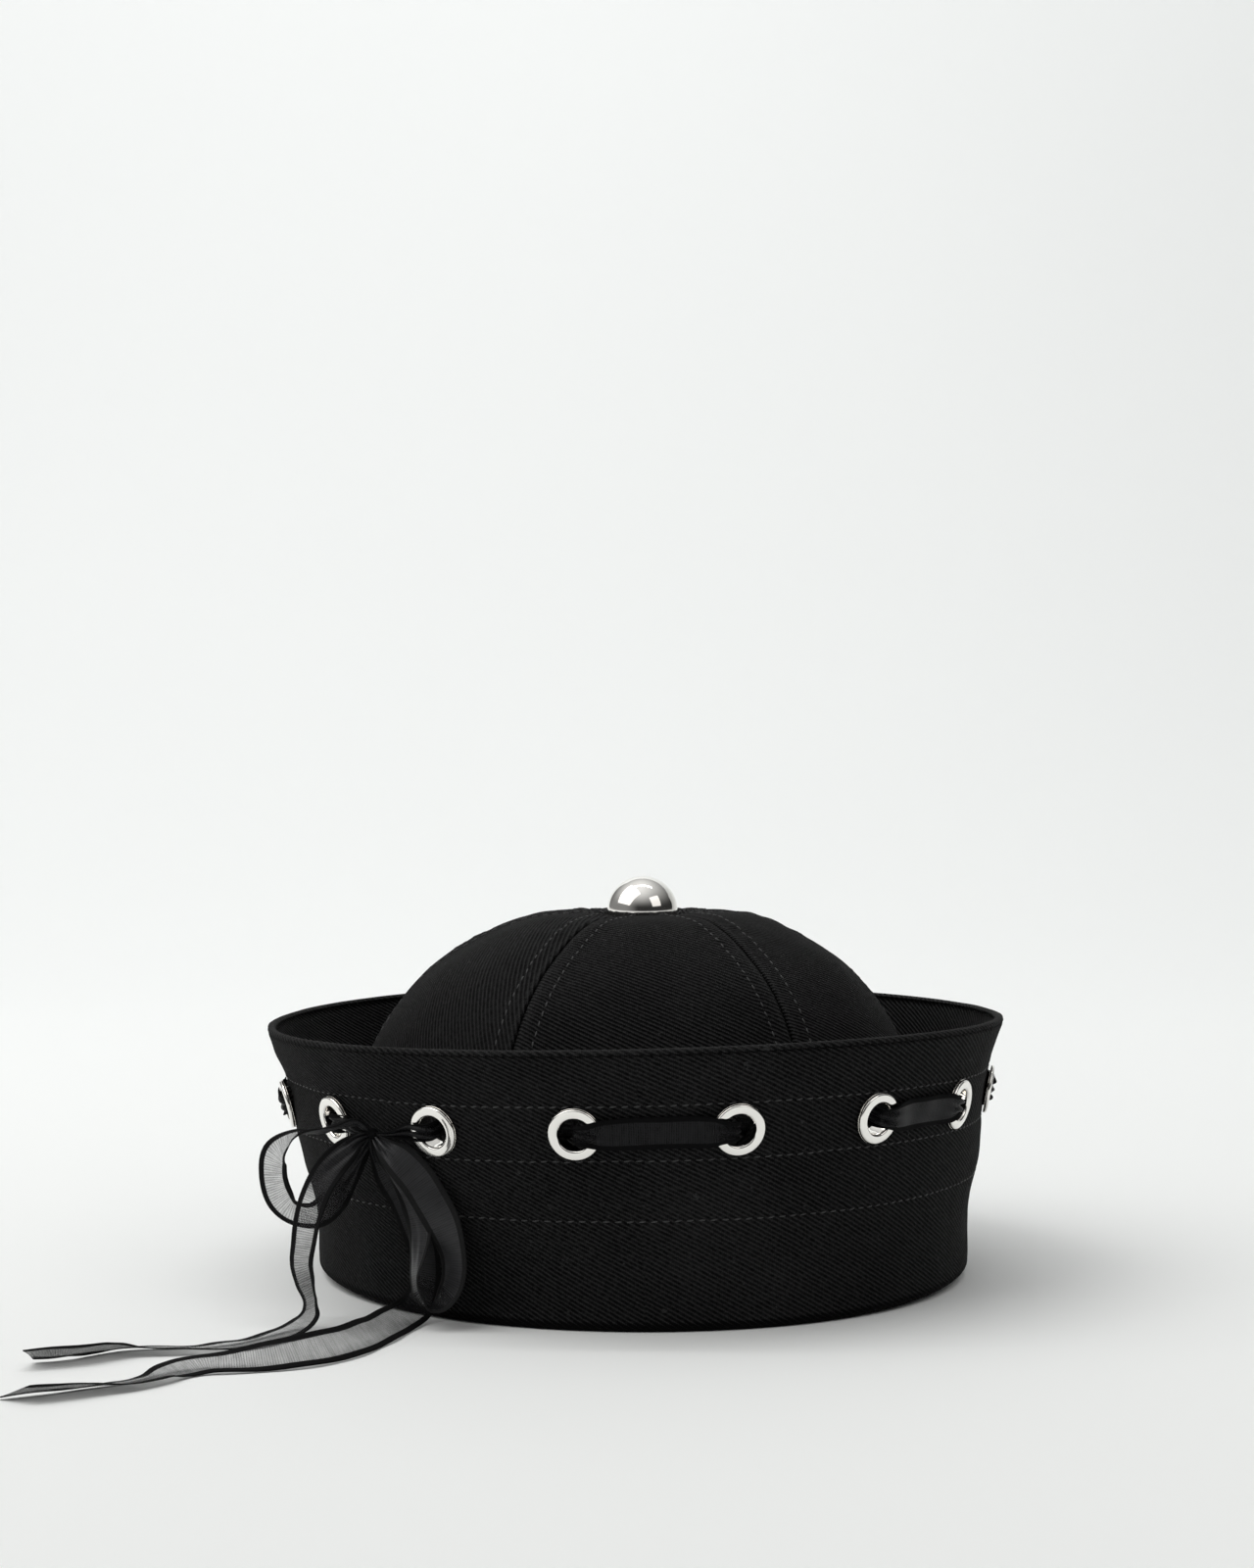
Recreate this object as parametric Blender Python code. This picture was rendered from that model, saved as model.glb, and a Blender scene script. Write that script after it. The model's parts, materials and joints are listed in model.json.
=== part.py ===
"""A sailor hat: six-gore crown, high turned-up brim, laced eyelets, ball stud and ribbon bow.

Metres, +Z up, front towards -Y. The origin is on the surface that the hat rests on, under its rim's
centre. An angle called turn goes round the hat from the front towards +X.
"""

from math import atan2, cos, hypot, pi, radians, sin, sqrt

import bmesh
import bpy
from mathutils import Matrix, Vector

# Overall form
FOOT_RADIUS = 0.0936  # half-width over the brim at the foot
DEPTH_RATIO = 1.05  # front-to-back size over side-to-side size
BRIM_HEIGHT = 0.0729
BRIM_FLARE = 0.0128  # how much wider the rim's radius is than the foot's
BRIM_WALL = 0.0026
FOOT_CORNER = 0.0016  # outer radius of the fold at the foot
CROWN_HEIGHT = 0.1035
CROWN_WALL = 0.0015
SEAM_GAP = 0.0003  # between sewn pieces
GORE_COUNT = 6
GORE_PUFF = 0.0012  # how far a gore swells between its seams
SEAM_TURN = radians(-26.5)  # the first crown seam

# How the soft hat sits
FOOT_SHIFT = 0.0024  # the foot's centre is this far towards +X from the rim's
CROWN_SHIFT = 0.0008  # the same for the crown at half of its height
RIM_TILT = 0.0013  # the rim is this much higher at +X and lower at -X
RIM_TWIST = 0.0006  # and this much higher between the front and +X
RIM_DIP = 0.0012  # and this much lower at both sides
FOOT_LIFT = 0.0022  # the foot's rise off the surface at both sides

# Eyelets
EYELET_COUNT = 16
EYELET_TURN = radians(-8.2)  # the first eyelet
EYELET_DRIFT = {0: radians(-0.7), 2: radians(0.6), 3: radians(-0.4), 14: radians(0.9)}  # uneven spacing
EYELET_HEIGHT = 0.0519
HOLE_RADIUS = 0.0042
BARREL_WALL = 0.0006
FLANGE_RADIUS = 0.00685
FLANGE_RISE = 0.0012  # from the flange's back to its rounded crest
BACK_RADIUS = 0.0064
BACK_RISE = 0.0008
EYELET_SIDES = 12

# Ball stud
STUD_RADIUS = 0.01025
STUD_CUT = 0.0019  # the ball is cut off flat this far under its middle
DIMPLE_DEPTH = 0.003
POST_RADIUS = 0.002
POST_FLANGE_RADIUS = 0.006
POST_FLANGE_RISE = 0.001
STUD_SIDES = 20

# Ribbon
RIBBON_WIDTH = 0.0095
RIBBON_THICKNESS = 0.0007
RIBBON_PINCH = 0.0068  # width where it passes an eyelet
RIBBON_CLEAR = 0.0006
STRAND_WIDTH = 0.0036  # between the knot and the eyelets beside it
KNOT_RADIUS = 0.0034
KNOT_FORM = (1.0, 0.95, 1.15)
KNOT_TURN = radians(-40.6)
KNOT_HEIGHT = 0.0515
KNOT_STANDOFF = 0.0046  # the knot's centre off the brim

# Fineness of the faceted surfaces
BRIM_STEPS = 80
GORE_STEPS = 5

# The brim's outside above the foot's fold
BRIM_SIDE = [
    # share of the height, share of the flare
    (0.26, 0.05),
    (0.46, 0.25),
    (0.66, 0.48),
    (0.85, 0.72),
    (1.00, 1.00),
]

# The crown's outside from the foot to the rise round the stud
CROWN_SIDE = [
    # share of the crown's height, share of its foot radius
    (0.20, 0.990),
    (0.37, 0.945),
    (0.52, 0.885),
    (0.65, 0.825),
    (0.75, 0.755),
    (0.83, 0.670),
    (0.90, 0.555),
    (0.955, 0.430),
    (0.986, 0.305),
    (1.000, 0.185),
]

# The bow's ribbons, chosen by eye. Each row holds a point of the centreline and the direction across the
# ribbon (millimetres), and the share of the full width that is left where it is gathered.
LOOP_LEFT_ROUTE = [
    # x, y, z, across x, y, z, width
    (-72.6, -83.2, 51.4, 0.2, -0.7, 0.6, 0.30),
    (-76.5, -83.2, 51.0, 0.1, -0.9, 0.3, 0.55),
    (-82.8, -81.0, 49.0, 0.1, -0.95, 0.3, 0.90),
    (-89.5, -78.0, 47.1, 0.4, -0.95, 0.0, 1.0),
    (-94.5, -76.0, 42.8, 0.75, -0.65, 0.1, 1.0),
    (-95.5, -75.0, 37.0, 0.85, -0.5, 0.1, 1.0),
    (-93.9, -75.5, 31.2, 0.8, -0.5, 0.4, 1.0),
    (-90.0, -76.5, 27.2, 0.3, -0.6, 0.6, 1.0),
    (-83.8, -78.0, 26.8, 0.0, -0.6, 0.8, 1.0),
    (-78.8, -79.5, 31.0, -0.2, -0.6, 0.8, 0.95),
    (-75.4, -80.2, 37.0, -0.5, -0.6, 0.6, 0.75),
    (-71.0, -81.2, 44.6, -0.7, -0.6, 0.3, 0.30),
]
LOOP_RIGHT_ROUTE = [
    # x, y, z, across x, y, z, width
    (-65.4, -86.0, 45.6, 0.6, 0.0, 0.8, 0.35),
    (-61.4, -88.0, 42.8, 0.7, 0.1, 0.7, 0.80),
    (-56.6, -89.6, 37.9, 0.8, 0.2, 0.5, 1.0),
    (-53.2, -90.8, 32.9, 0.9, 0.0, 0.4, 1.0),
    (-50.0, -91.8, 27.4, 0.9, -0.2, 0.3, 1.0),
    (-47.7, -92.4, 21.6, 0.8, -0.5, 0.1, 1.0),
    (-46.7, -92.8, 16.2, 0.7, -0.7, 0.0, 1.0),
    (-47.4, -93.0, 10.9, 0.6, -0.8, -0.1, 1.0),
    (-49.9, -93.0, 7.0, 0.5, -0.8, -0.1, 1.0),
    (-53.2, -92.8, 5.7, 0.4, -0.9, 0.0, 1.0),
    (-56.0, -92.4, 8.0, 0.3, -0.9, 0.1, 1.0),
    (-57.0, -91.4, 12.6, 0.3, -0.9, 0.1, 1.0),
    (-56.2, -89.8, 18.4, 0.5, -0.8, 0.1, 0.90),
    (-55.8, -88.6, 24.8, 0.7, -0.5, 0.2, 0.75),
    (-57.6, -87.6, 31.8, 0.9, -0.2, 0.3, 0.60),
    (-61.6, -86.4, 38.4, 0.8, -0.1, 0.5, 0.40),
    (-65.2, -85.0, 42.6, 0.6, -0.1, 0.6, 0.30),
]
TAIL_UPPER_ROUTE = [
    # x, y, z, across x, y, z, width
    (-72.2, -85.2, 47.4, 0.5, -0.3, -0.8, 0.30),
    (-75.0, -87.0, 44.8, 0.6, -0.3, -0.7, 0.60),
    (-78.6, -87.9, 41.0, 0.7, -0.4, -0.6, 0.85),
    (-81.4, -88.4, 36.8, 0.75, -0.5, -0.4, 0.95),
    (-83.4, -89.0, 32.2, 0.8, -0.6, -0.2, 1.0),
    (-84.8, -89.6, 27.1, 0.75, -0.65, -0.1, 1.0),
    (-85.6, -90.4, 21.5, 0.75, -0.65, 0.0, 1.0),
    (-86.1, -91.2, 16.4, 0.7, -0.7, 0.0, 1.0),
    (-84.9, -92.4, 11.4, 0.6, -0.8, 0.0, 1.0),
    (-83.5, -93.6, 6.9, 0.45, -0.9, 0.0, 1.0),
    (-84.3, -95.8, 3.4, 0.5, -0.85, -0.1, 1.0),
    (-88.0, -101.6, 1.2, 0.7, -0.7, 0.0, 1.0),
    (-95.4, -112.6, 0.8, 0.4, -0.9, 0.0, 1.0),
    (-104.8, -119.6, 0.9, 0.2, -1.0, 0.05, 1.0),
    (-114.2, -121.4, 1.2, 0.0, -1.0, 0.15, 1.0),
    (-123.6, -123.0, 1.6, 0.0, -1.0, 0.23, 1.0),
    (-129.6, -127.4, 2.3, 0.0, -0.9, 0.34, 1.0),
    (-136.0, -133.4, 2.8, 0.1, -0.9, 0.42, 1.0),
    (-146.0, -137.8, 2.9, 0.2, -0.88, 0.43, 1.0),
]
TAIL_LOWER_ROUTE = [
    # x, y, z, across x, y, z, width
    (-67.2, -82.6, 43.6, 0.9, -0.4, 0.1, 0.35),
    (-64.2, -82.8, 38.0, 0.9, -0.3, 0.2, 0.80),
    (-60.8, -83.0, 32.0, 0.9, -0.4, 0.3, 0.95),
    (-57.6, -82.8, 25.0, 0.9, -0.4, 0.2, 1.0),
    (-55.4, -82.2, 18.4, 0.9, -0.4, 0.1, 1.0),
    (-54.8, -81.6, 12.6, 0.85, -0.45, 0.0, 1.0),
    (-55.4, -81.2, 8.0, 0.8, -0.45, -0.15, 1.0),
    (-56.8, -82.8, 4.4, 0.75, -0.4, -0.45, 1.0),
    (-58.4, -87.6, 3.3, 0.7, -0.4, -0.55, 1.0),
    (-60.3, -94.4, 3.2, 0.66, -0.45, -0.53, 1.0),
    (-62.6, -103.0, 3.3, 0.6, -0.55, -0.54, 1.0),
    (-65.0, -111.6, 3.4, 0.55, -0.6, -0.56, 1.0),
    (-69.6, -124.4, 3.7, 0.45, -0.6, -0.65, 1.0),
    (-76.0, -133.4, 3.8, 0.4, -0.6, -0.65, 1.0),
    (-84.4, -138.8, 3.4, 0.25, -0.7, -0.6, 1.0),
    (-94.4, -141.4, 2.4, 0.0, -0.9, -0.4, 1.0),
    (-103.2, -143.2, 1.8, -0.2, -0.9, -0.25, 1.0),
    (-109.0, -147.6, 1.4, -0.35, -0.9, -0.1, 1.0),
    (-113.4, -154.4, 1.1, -0.4, -0.9, 0.0, 1.0),
    (-118.6, -160.4, 1.2, -0.35, -0.9, 0.1, 1.0),
    (-125.6, -165.0, 1.6, -0.1, -0.95, 0.23, 1.0),
    (-132.0, -169.4, 2.2, 0.2, -0.9, 0.36, 1.0),
    (-141.0, -174.6, 2.3, 0.3, -0.88, 0.38, 1.0),
]
ROUTE_UNIT = 0.001
ROUTE_STEPS = 2  # rings for each row of a route

# Worked out from the sizes above
CROWN_FOOT_RADIUS = FOOT_RADIUS - BRIM_WALL - SEAM_GAP
CROWN_FOOT_Z = BRIM_WALL + SEAM_GAP
SEAT_Z = CROWN_HEIGHT - DIMPLE_DEPTH
SEAT_RADIUS = STUD_RADIUS + 2 * SEAM_GAP
BARREL_RADIUS = HOLE_RADIUS + BARREL_WALL


def smooth_step(share):
    """0 to 1 with no slope at either end."""
    share = min(1.0, max(0.0, share))
    return share * share * (3 - 2 * share)


def oval_turn(turn):
    """Spaces equal turns evenly along the oval's edge."""
    return turn + (DEPTH_RATIO - 1) / 4 * sin(2 * turn)


def oval_point(radius, turn, z, shift):
    """A point of the oval of this half-width, shifted towards +X."""
    t = oval_turn(turn)
    return Vector((shift + radius * sin(t), -radius * DEPTH_RATIO * cos(t), z))


def foot_rise(turn, z):
    """How far the soft sides lift off the surface at this height."""
    return FOOT_LIFT * sin(turn) ** 4 * max(0.0, 1 - z / BRIM_HEIGHT)


def brim_point(radius, turn, z):
    """A point of the brim, settled as the soft hat stands."""
    up = z / BRIM_HEIGHT
    rim = RIM_TILT * sin(turn) + RIM_TWIST * sin(2 * turn) - RIM_DIP * sin(turn) ** 2
    rise = foot_rise(turn, z) + rim * smooth_step(1.3 * up)
    return oval_point(radius, turn, z + rise, FOOT_SHIFT * (1 - smooth_step(up)))


def crown_point(radius, turn, z):
    """A point of the crown, settled on the same foot."""
    away = 1 - 2 * (z - CROWN_FOOT_Z) / (CROWN_HEIGHT - CROWN_FOOT_Z)
    shift = CROWN_SHIFT + (FOOT_SHIFT - CROWN_SHIFT) * away * away
    return oval_point(radius, turn, z + foot_rise(turn, z), shift)


def offset_line(points, distance):
    """A profile's copy, moved to its left-hand side by this distance, with mitred corners."""
    moved = []
    for i, point in enumerate(points):
        before = Vector(points[max(i - 1, 0)])
        after = Vector(points[min(i + 1, len(points) - 1)])
        first = (Vector(point) - before).normalized() if i else None
        last = (after - Vector(point)).normalized() if i < len(points) - 1 else None
        first = first or last
        last = last or first
        normal = Vector((-(first + last).y, (first + last).x)).normalized()
        reach = distance / max(0.5, normal.dot(Vector((-first.y, first.x))))
        moved.append((point[0] + normal.x * reach, point[1] + normal.y * reach))
    return moved


def brim_outline():
    """The brim's outside as radius and height, from under the crown's edge up to the rim."""
    start = CROWN_FOOT_RADIUS - CROWN_WALL
    line = [(start, 0.0)]
    for corner in (0, pi / 4, pi / 2):
        inset = FOOT_CORNER * (1 - sin(corner))
        line.append((FOOT_RADIUS - inset, FOOT_CORNER * (1 - cos(corner))))
    for height, flare in BRIM_SIDE:
        line.append((FOOT_RADIUS + BRIM_FLARE * flare, BRIM_HEIGHT * height))
    return line


def brim_radius(z):
    """The outside radius of the brim's side at this height."""
    line = brim_outline()[3:]
    for (r0, z0), (r1, z1) in zip(line, line[1:]):
        if z <= z1:
            break
    return r0 + (r1 - r0) * (z - z0) / (z1 - z0)


def crown_outline():
    """The crown's outside as radius and height, from the foot to the stud's hole."""
    line = [(CROWN_FOOT_RADIUS, CROWN_FOOT_Z)]
    for height, share in CROWN_SIDE:
        line.append((CROWN_FOOT_RADIUS * share, CROWN_HEIGHT * height))
    ring_radius = line[-1][0]
    line.append(((ring_radius + SEAT_RADIUS) / 2, CROWN_HEIGHT - DIMPLE_DEPTH / 3))
    line.append((SEAT_RADIUS, SEAT_Z))
    line.append((POST_RADIUS + SEAM_GAP, SEAT_Z))
    return line


def new_object(name, bm, material, collection):
    """A named object from a finished bmesh, with its material and smooth shading."""
    bmesh.ops.recalc_face_normals(bm, faces=bm.faces)
    if bm.calc_volume(signed=True) < 0:
        bmesh.ops.reverse_faces(bm, faces=bm.faces)
    mesh = bpy.data.meshes.new(name)
    bm.to_mesh(mesh)
    bm.free()
    mesh.materials.append(material)
    mesh.shade_smooth()
    mesh.set_sharp_from_angle(angle=radians(40))
    made = bpy.data.objects.new(name, mesh)
    collection.objects.link(made)
    return made


def new_material(name, colour, roughness, metallic):
    """A Principled material."""
    made = bpy.data.materials.new(name)
    made.use_nodes = True
    shader = made.node_tree.nodes["Principled BSDF"]
    shader.inputs["Base Color"].default_value = (*colour, 1.0)
    shader.inputs["Roughness"].default_value = roughness
    shader.inputs["Metallic"].default_value = metallic
    return made


def closed_profile(bm, points):
    """A loop of edges in the XZ plane through these radii and heights."""
    verts = [bm.verts.new((r, 0.0, z)) for r, z in points]
    return [bm.edges.new((a, b)) for a, b in zip(verts, verts[1:] + verts[:1])]


def turned(points, sides):
    """A ring-shaped solid: a closed profile spun fully about Z."""
    bm = bmesh.new()
    edges = closed_profile(bm, points)
    axis = Vector((0, 0, 1))
    bmesh.ops.spin(
        bm, geom=edges, cent=(0, 0, 0), axis=axis, angle=2 * pi, steps=sides, use_merge=True
    )
    return bm


def turned_solid(points, sides):
    """A solid of revolution from the line between its two ends on the axis."""
    bm = bmesh.new()
    verts = [bm.verts.new((r, 0.0, z)) for r, z in points]
    edges = [bm.edges.new(pair) for pair in zip(verts, verts[1:])]
    axis = Vector((0, 0, 1))
    bmesh.ops.spin(
        bm, geom=edges, cent=(0, 0, 0), axis=axis, angle=2 * pi, steps=sides, use_merge=True
    )
    bmesh.ops.remove_doubles(bm, verts=bm.verts, dist=1e-6)
    return bm


def surface_frame(turn, z, depth=0.0):
    """A place on the brim's outside: its axes are along, up and out, its origin depth inside."""
    small = 1e-4
    here = brim_point(brim_radius(z), turn, z)
    along = brim_point(brim_radius(z), turn + small, z) - here
    up = brim_point(brim_radius(z + small), turn, z + small) - here
    out = along.cross(up).normalized()
    up = out.cross(along).normalized()
    along = up.cross(out)
    frame = Matrix((along, up, out)).transposed().to_4x4()
    frame.translation = here - out * depth
    return frame


def eyelet_turn(index):
    drift = EYELET_DRIFT.get(index, 0.0)
    return EYELET_TURN + 2 * pi * index / EYELET_COUNT + drift


def eyelet_profile():
    """The eyelet's closed section: rounded flange, barrel through the cloth and turned-over back."""
    seat = SEAM_GAP + BARREL_WALL / 4
    hollow = BACK_RADIUS**2 / (2 * FOOT_RADIUS)  # the curved cloth stands this far off a flat back
    back = -BRIM_WALL - SEAM_GAP - hollow
    middle = (HOLE_RADIUS + FLANGE_RADIUS) / 2
    return [
        (HOLE_RADIUS, seat + 0.6 * FLANGE_RISE),
        (middle, seat + FLANGE_RISE),
        (FLANGE_RADIUS, seat + 0.35 * FLANGE_RISE),
        (FLANGE_RADIUS, seat),
        (BARREL_RADIUS, seat),
        (BARREL_RADIUS, back),
        (BACK_RADIUS, back),
        (HOLE_RADIUS, back - BACK_RISE),
    ]


def make_eyelets(material, collection):
    """Eyelets of one shape in a row round the brim."""
    shape = None
    for index in range(EYELET_COUNT):
        name = f"eyelet_{index + 1:02d}"
        if shape is None:
            eyelet = new_object(name, turned(eyelet_profile(), EYELET_SIDES), material, collection)
            shape = eyelet.data
        else:
            eyelet = bpy.data.objects.new(name, shape)
            collection.objects.link(eyelet)
        eyelet.matrix_world = surface_frame(eyelet_turn(index), EYELET_HEIGHT)


def make_brim(material, collection, cutters):
    """The turned-up band, with a hole for each eyelet's barrel."""
    outline = brim_outline()
    section = outline + offset_line(outline, BRIM_WALL)[::-1]
    bm = turned(section, BRIM_STEPS)
    for vert in bm.verts:
        turn = atan2(vert.co.x, -vert.co.y)
        vert.co = brim_point(hypot(vert.co.x, vert.co.y), turn, vert.co.z)
    brim = new_object("brim", bm, material, collection)
    hole = (BARREL_RADIUS + SEAM_GAP) / cos(pi / EYELET_SIDES)
    bm = bmesh.new()
    for index in range(EYELET_COUNT):
        bmesh.ops.create_cone(
            bm,
            cap_ends=True,
            segments=EYELET_SIDES,
            radius1=hole,
            radius2=hole,
            depth=4 * BRIM_WALL,
            matrix=surface_frame(eyelet_turn(index), EYELET_HEIGHT, BRIM_WALL / 2),
        )
    cutter = new_object("eyelet_holes", bm, material, cutters)
    cutter.hide_render = True
    cutter.display_type = "WIRE"
    cut = brim.modifiers.new("eyelet_holes", "BOOLEAN")
    cut.operation = "DIFFERENCE"
    cut.solver = "EXACT"
    cut.object = cutter


def make_gores(material, collection):
    """The crown's gores, each a shell between two seams."""
    outline = crown_outline()
    inside = offset_line(outline, CROWN_WALL)
    half = pi / GORE_COUNT
    for index in range(GORE_COUNT):
        bm = bmesh.new()
        outer = [bm.verts.new((r, 0.0, z)) for r, z in outline]
        inner = [bm.verts.new((r, 0.0, z)) for r, z in inside]
        pairs = list(zip(outer, inner))
        faces = [bm.faces.new((a[0], b[0], b[1], a[1])) for a, b in zip(pairs, pairs[1:])]
        bmesh.ops.spin(
            bm, geom=faces, cent=(0, 0, 0), axis=(0, 0, 1), angle=2 * half, steps=GORE_STEPS
        )
        middle = SEAM_TURN + half * (2 * index + 1)
        for vert in bm.verts:
            radius = hypot(vert.co.x, vert.co.y)
            across = atan2(vert.co.y, vert.co.x) / half - 1
            seam = half - SEAM_GAP / 2 / radius
            flat = vert.co.z / CROWN_HEIGHT
            puff = GORE_PUFF * (1 - across * across) * smooth_step(3 * flat)
            swell = puff * smooth_step((radius - SEAT_RADIUS) / SEAT_RADIUS)
            turn = middle + across * seam
            vert.co = crown_point(radius + swell * (1 - flat), turn, vert.co.z + swell * flat)
        new_object(f"crown_panel_{index + 1}", bm, material, collection)


def make_stud(material, collection):
    """The ball, its post through the gores' tips and the flange behind them."""
    base = SEAT_Z + SEAM_GAP
    centre = base + STUD_CUT
    low = -sin_angle(STUD_CUT, STUD_RADIUS)
    back = SEAT_Z - CROWN_WALL - SEAM_GAP
    rows = 7
    line = [(0.0, centre + STUD_RADIUS)]
    for row in range(1, rows + 1):
        lift = pi / 2 + (low - pi / 2) * row / rows
        line.append((STUD_RADIUS * cos(lift), centre + STUD_RADIUS * sin(lift)))
    line += [
        (POST_RADIUS, base),
        (POST_RADIUS, back),
        (POST_FLANGE_RADIUS, back),
        (POST_FLANGE_RADIUS, back - POST_FLANGE_RISE),
        (0.0, back - POST_FLANGE_RISE),
    ]
    stud = new_object("ball_stud", turned_solid(line, STUD_SIDES), material, collection)
    stud.location.x = crown_point(0.0, 0.0, SEAT_Z).x


def sin_angle(rise, radius):
    """The angle whose sine is rise over radius."""
    return atan2(rise, sqrt(radius * radius - rise * rise))


def ribbon(name, points, across, widths, material, collection):
    """A flat strip lofted through sections that follow the points and turn to each row's direction."""
    bm = bmesh.new()
    rings = []
    for i, point in enumerate(points):
        ahead = points[min(i + 1, len(points) - 1)] - points[max(i - 1, 0)]
        ahead.normalize()
        side = (across[i] - ahead * across[i].dot(ahead)).normalized()
        lift = ahead.cross(side)
        half = side * widths[i] / 2
        thick = lift * RIBBON_THICKNESS / 2
        corners = [point - half - thick, point + half - thick, point + half + thick]
        corners.append(point - half + thick)
        rings.append([bm.verts.new(corner) for corner in corners])
    bm.faces.new(rings[0])
    bm.faces.new(rings[-1])
    for first, second in zip(rings, rings[1:]):
        for k in range(4):
            bm.faces.new((first[k - 1], first[k], second[k], second[k - 1]))
    new_object(name, bm, material, collection)


def spline(rows, fineness):
    """Rows of numbers with smooth rows between them."""
    last = len(rows) - 1
    made = []
    for i in range(last):
        p0, p1, p2, p3 = (rows[min(max(i + k, 0), last)] for k in (-1, 0, 1, 2))
        for step in range(fineness):
            t = step / fineness
            row = []
            for a, b, c, d in zip(p0, p1, p2, p3):
                curve = (2 * a - 5 * b + 4 * c - d) * t * t + (3 * b - a - 3 * c + d) * t**3
                row.append((2 * b + (c - a) * t + curve) / 2)
            made.append(row)
    return made + [list(rows[last])]


def make_free_ribbon(name, route, material, collection):
    """A loop or tail of the bow along its chosen route."""
    rows = spline(route, ROUTE_STEPS)
    points = [Vector(row[:3]) * ROUTE_UNIT for row in rows]
    across = [Vector(row[3:6]) for row in rows]
    widths = [RIBBON_WIDTH * min(1.0, row[6]) for row in rows]
    ribbon(name, points, across, widths, material, collection)


def knot_centre():
    return surface_frame(KNOT_TURN, KNOT_HEIGHT, -KNOT_STANDOFF).translation


def make_knot(material, collection):
    """The bow's small tight knot."""
    bm = bmesh.new()
    place = Matrix.Translation(knot_centre()) @ Matrix.Diagonal((*KNOT_FORM, 1.0))
    bmesh.ops.create_uvsphere(
        bm, u_segments=10, v_segments=7, radius=KNOT_RADIUS, matrix=place
    )
    new_object("bow_knot", bm, material, collection)


def lace_keys(index, forward, spread=RIBBON_WIDTH):
    """The lace at one eyelet, from inside the brim to outside it: along, out and width."""
    front = SEAM_GAP + BARREL_WALL / 4 + FLANGE_RISE + RIBBON_CLEAR
    back = eyelet_profile()[-1][1] - RIBBON_CLEAR
    way = 1 if forward else -1
    keys = [
        # distance along towards the outside span, distance out, width
        (-way * 1.35 * BACK_RADIUS, back - 0.1 * BACK_RADIUS, RIBBON_WIDTH),
        (-way * 0.55 * BACK_RADIUS, back - 0.1 * BACK_RADIUS, (RIBBON_PINCH + RIBBON_WIDTH) / 2),
        (-way * 0.10 * HOLE_RADIUS, back, RIBBON_PINCH),
        (0.0, -BRIM_WALL / 2, RIBBON_PINCH),
        (way * 0.15 * HOLE_RADIUS, front - RIBBON_CLEAR / 2, RIBBON_PINCH),
        (way * 0.60 * FLANGE_RADIUS, front + RIBBON_CLEAR, (RIBBON_PINCH + spread) / 2),
        (way * 1.10 * FLANGE_RADIUS, front + RIBBON_CLEAR / 2, spread),
    ]
    frame = surface_frame(eyelet_turn(index), EYELET_HEIGHT)
    rows = []
    for along, out, width in keys:
        rows.append((frame @ Vector((along, 0.0, out)), frame.col[1].to_3d(), width))
    return rows


def outside_span(index):
    """The lace's wrap over the brim between an eyelet and the next, clear of the cloth."""
    rows = []
    for share in (0.35, 0.5, 0.65):
        turn = eyelet_turn(index + share)
        frame = surface_frame(turn, EYELET_HEIGHT, -2 * RIBBON_CLEAR)
        rows.append((frame.translation, frame.col[1].to_3d(), RIBBON_WIDTH))
    return rows


def strand_end(index):
    """Where a strand of the lace meets the knot."""
    knot = knot_centre()
    eyelet = surface_frame(eyelet_turn(index), EYELET_HEIGHT, -KNOT_STANDOFF).translation
    way = (eyelet - knot).normalized()
    reach = KNOT_RADIUS * max(KNOT_FORM) + SEAM_GAP
    return knot + way * reach, Vector((0.0, 0.0, 1.0)), STRAND_WIDTH


def make_lace(material, collection):
    """The ribbon from the knot in through one eyelet, out and in all round, and back to the knot."""
    last = EYELET_COUNT - 1
    rows = [strand_end(last)]
    rows += lace_keys(last, False, STRAND_WIDTH)[::-1]
    for index in range(0, last - 1, 2):
        rows += lace_keys(index, True)
        rows += outside_span(index)
        rows += lace_keys(index + 1, False)[::-1]
    rows += lace_keys(last - 1, True, STRAND_WIDTH)
    rows.append(strand_end(last - 1))
    points = [row[0] for row in rows]
    across = [row[1] for row in rows]
    widths = [row[2] for row in rows]
    ribbon("lace", points, across, widths, material, collection)


def new_collection(name):
    made = bpy.data.collections.new(name)
    bpy.context.scene.collection.children.link(made)
    return made


def main():
    for old in list(bpy.data.objects):
        bpy.data.objects.remove(old, do_unlink=True)
    hat = new_collection("sailor_hat")
    cutters = new_collection("cutters")
    cloth = new_material("black_twill", (0.022, 0.022, 0.025), 0.85, 0.0)
    metal = new_material("polished_nickel", (0.82, 0.81, 0.79), 0.12, 1.0)
    sheer = new_material("black_organza", (0.03, 0.03, 0.034), 0.55, 0.0)
    make_brim(cloth, hat, cutters)
    make_gores(cloth, hat)
    make_eyelets(metal, hat)
    make_stud(metal, hat)
    make_lace(sheer, hat)
    make_knot(sheer, hat)
    make_free_ribbon("bow_loop_left", LOOP_LEFT_ROUTE, sheer, hat)
    make_free_ribbon("bow_loop_right", LOOP_RIGHT_ROUTE, sheer, hat)
    make_free_ribbon("tail_upper", TAIL_UPPER_ROUTE, sheer, hat)
    make_free_ribbon("tail_lower", TAIL_LOWER_ROUTE, sheer, hat)


main()
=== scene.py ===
"""Looks of a black sailor hat: twill crown and brim, nickel eyelets and ball, organza lace and bow.

Metres, in the frame of the CAD model: +Z up, the front towards -Y, the origin on the table under
the middle of the rim. An angle called turn goes round the hat from the front towards +X.
"""

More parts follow.
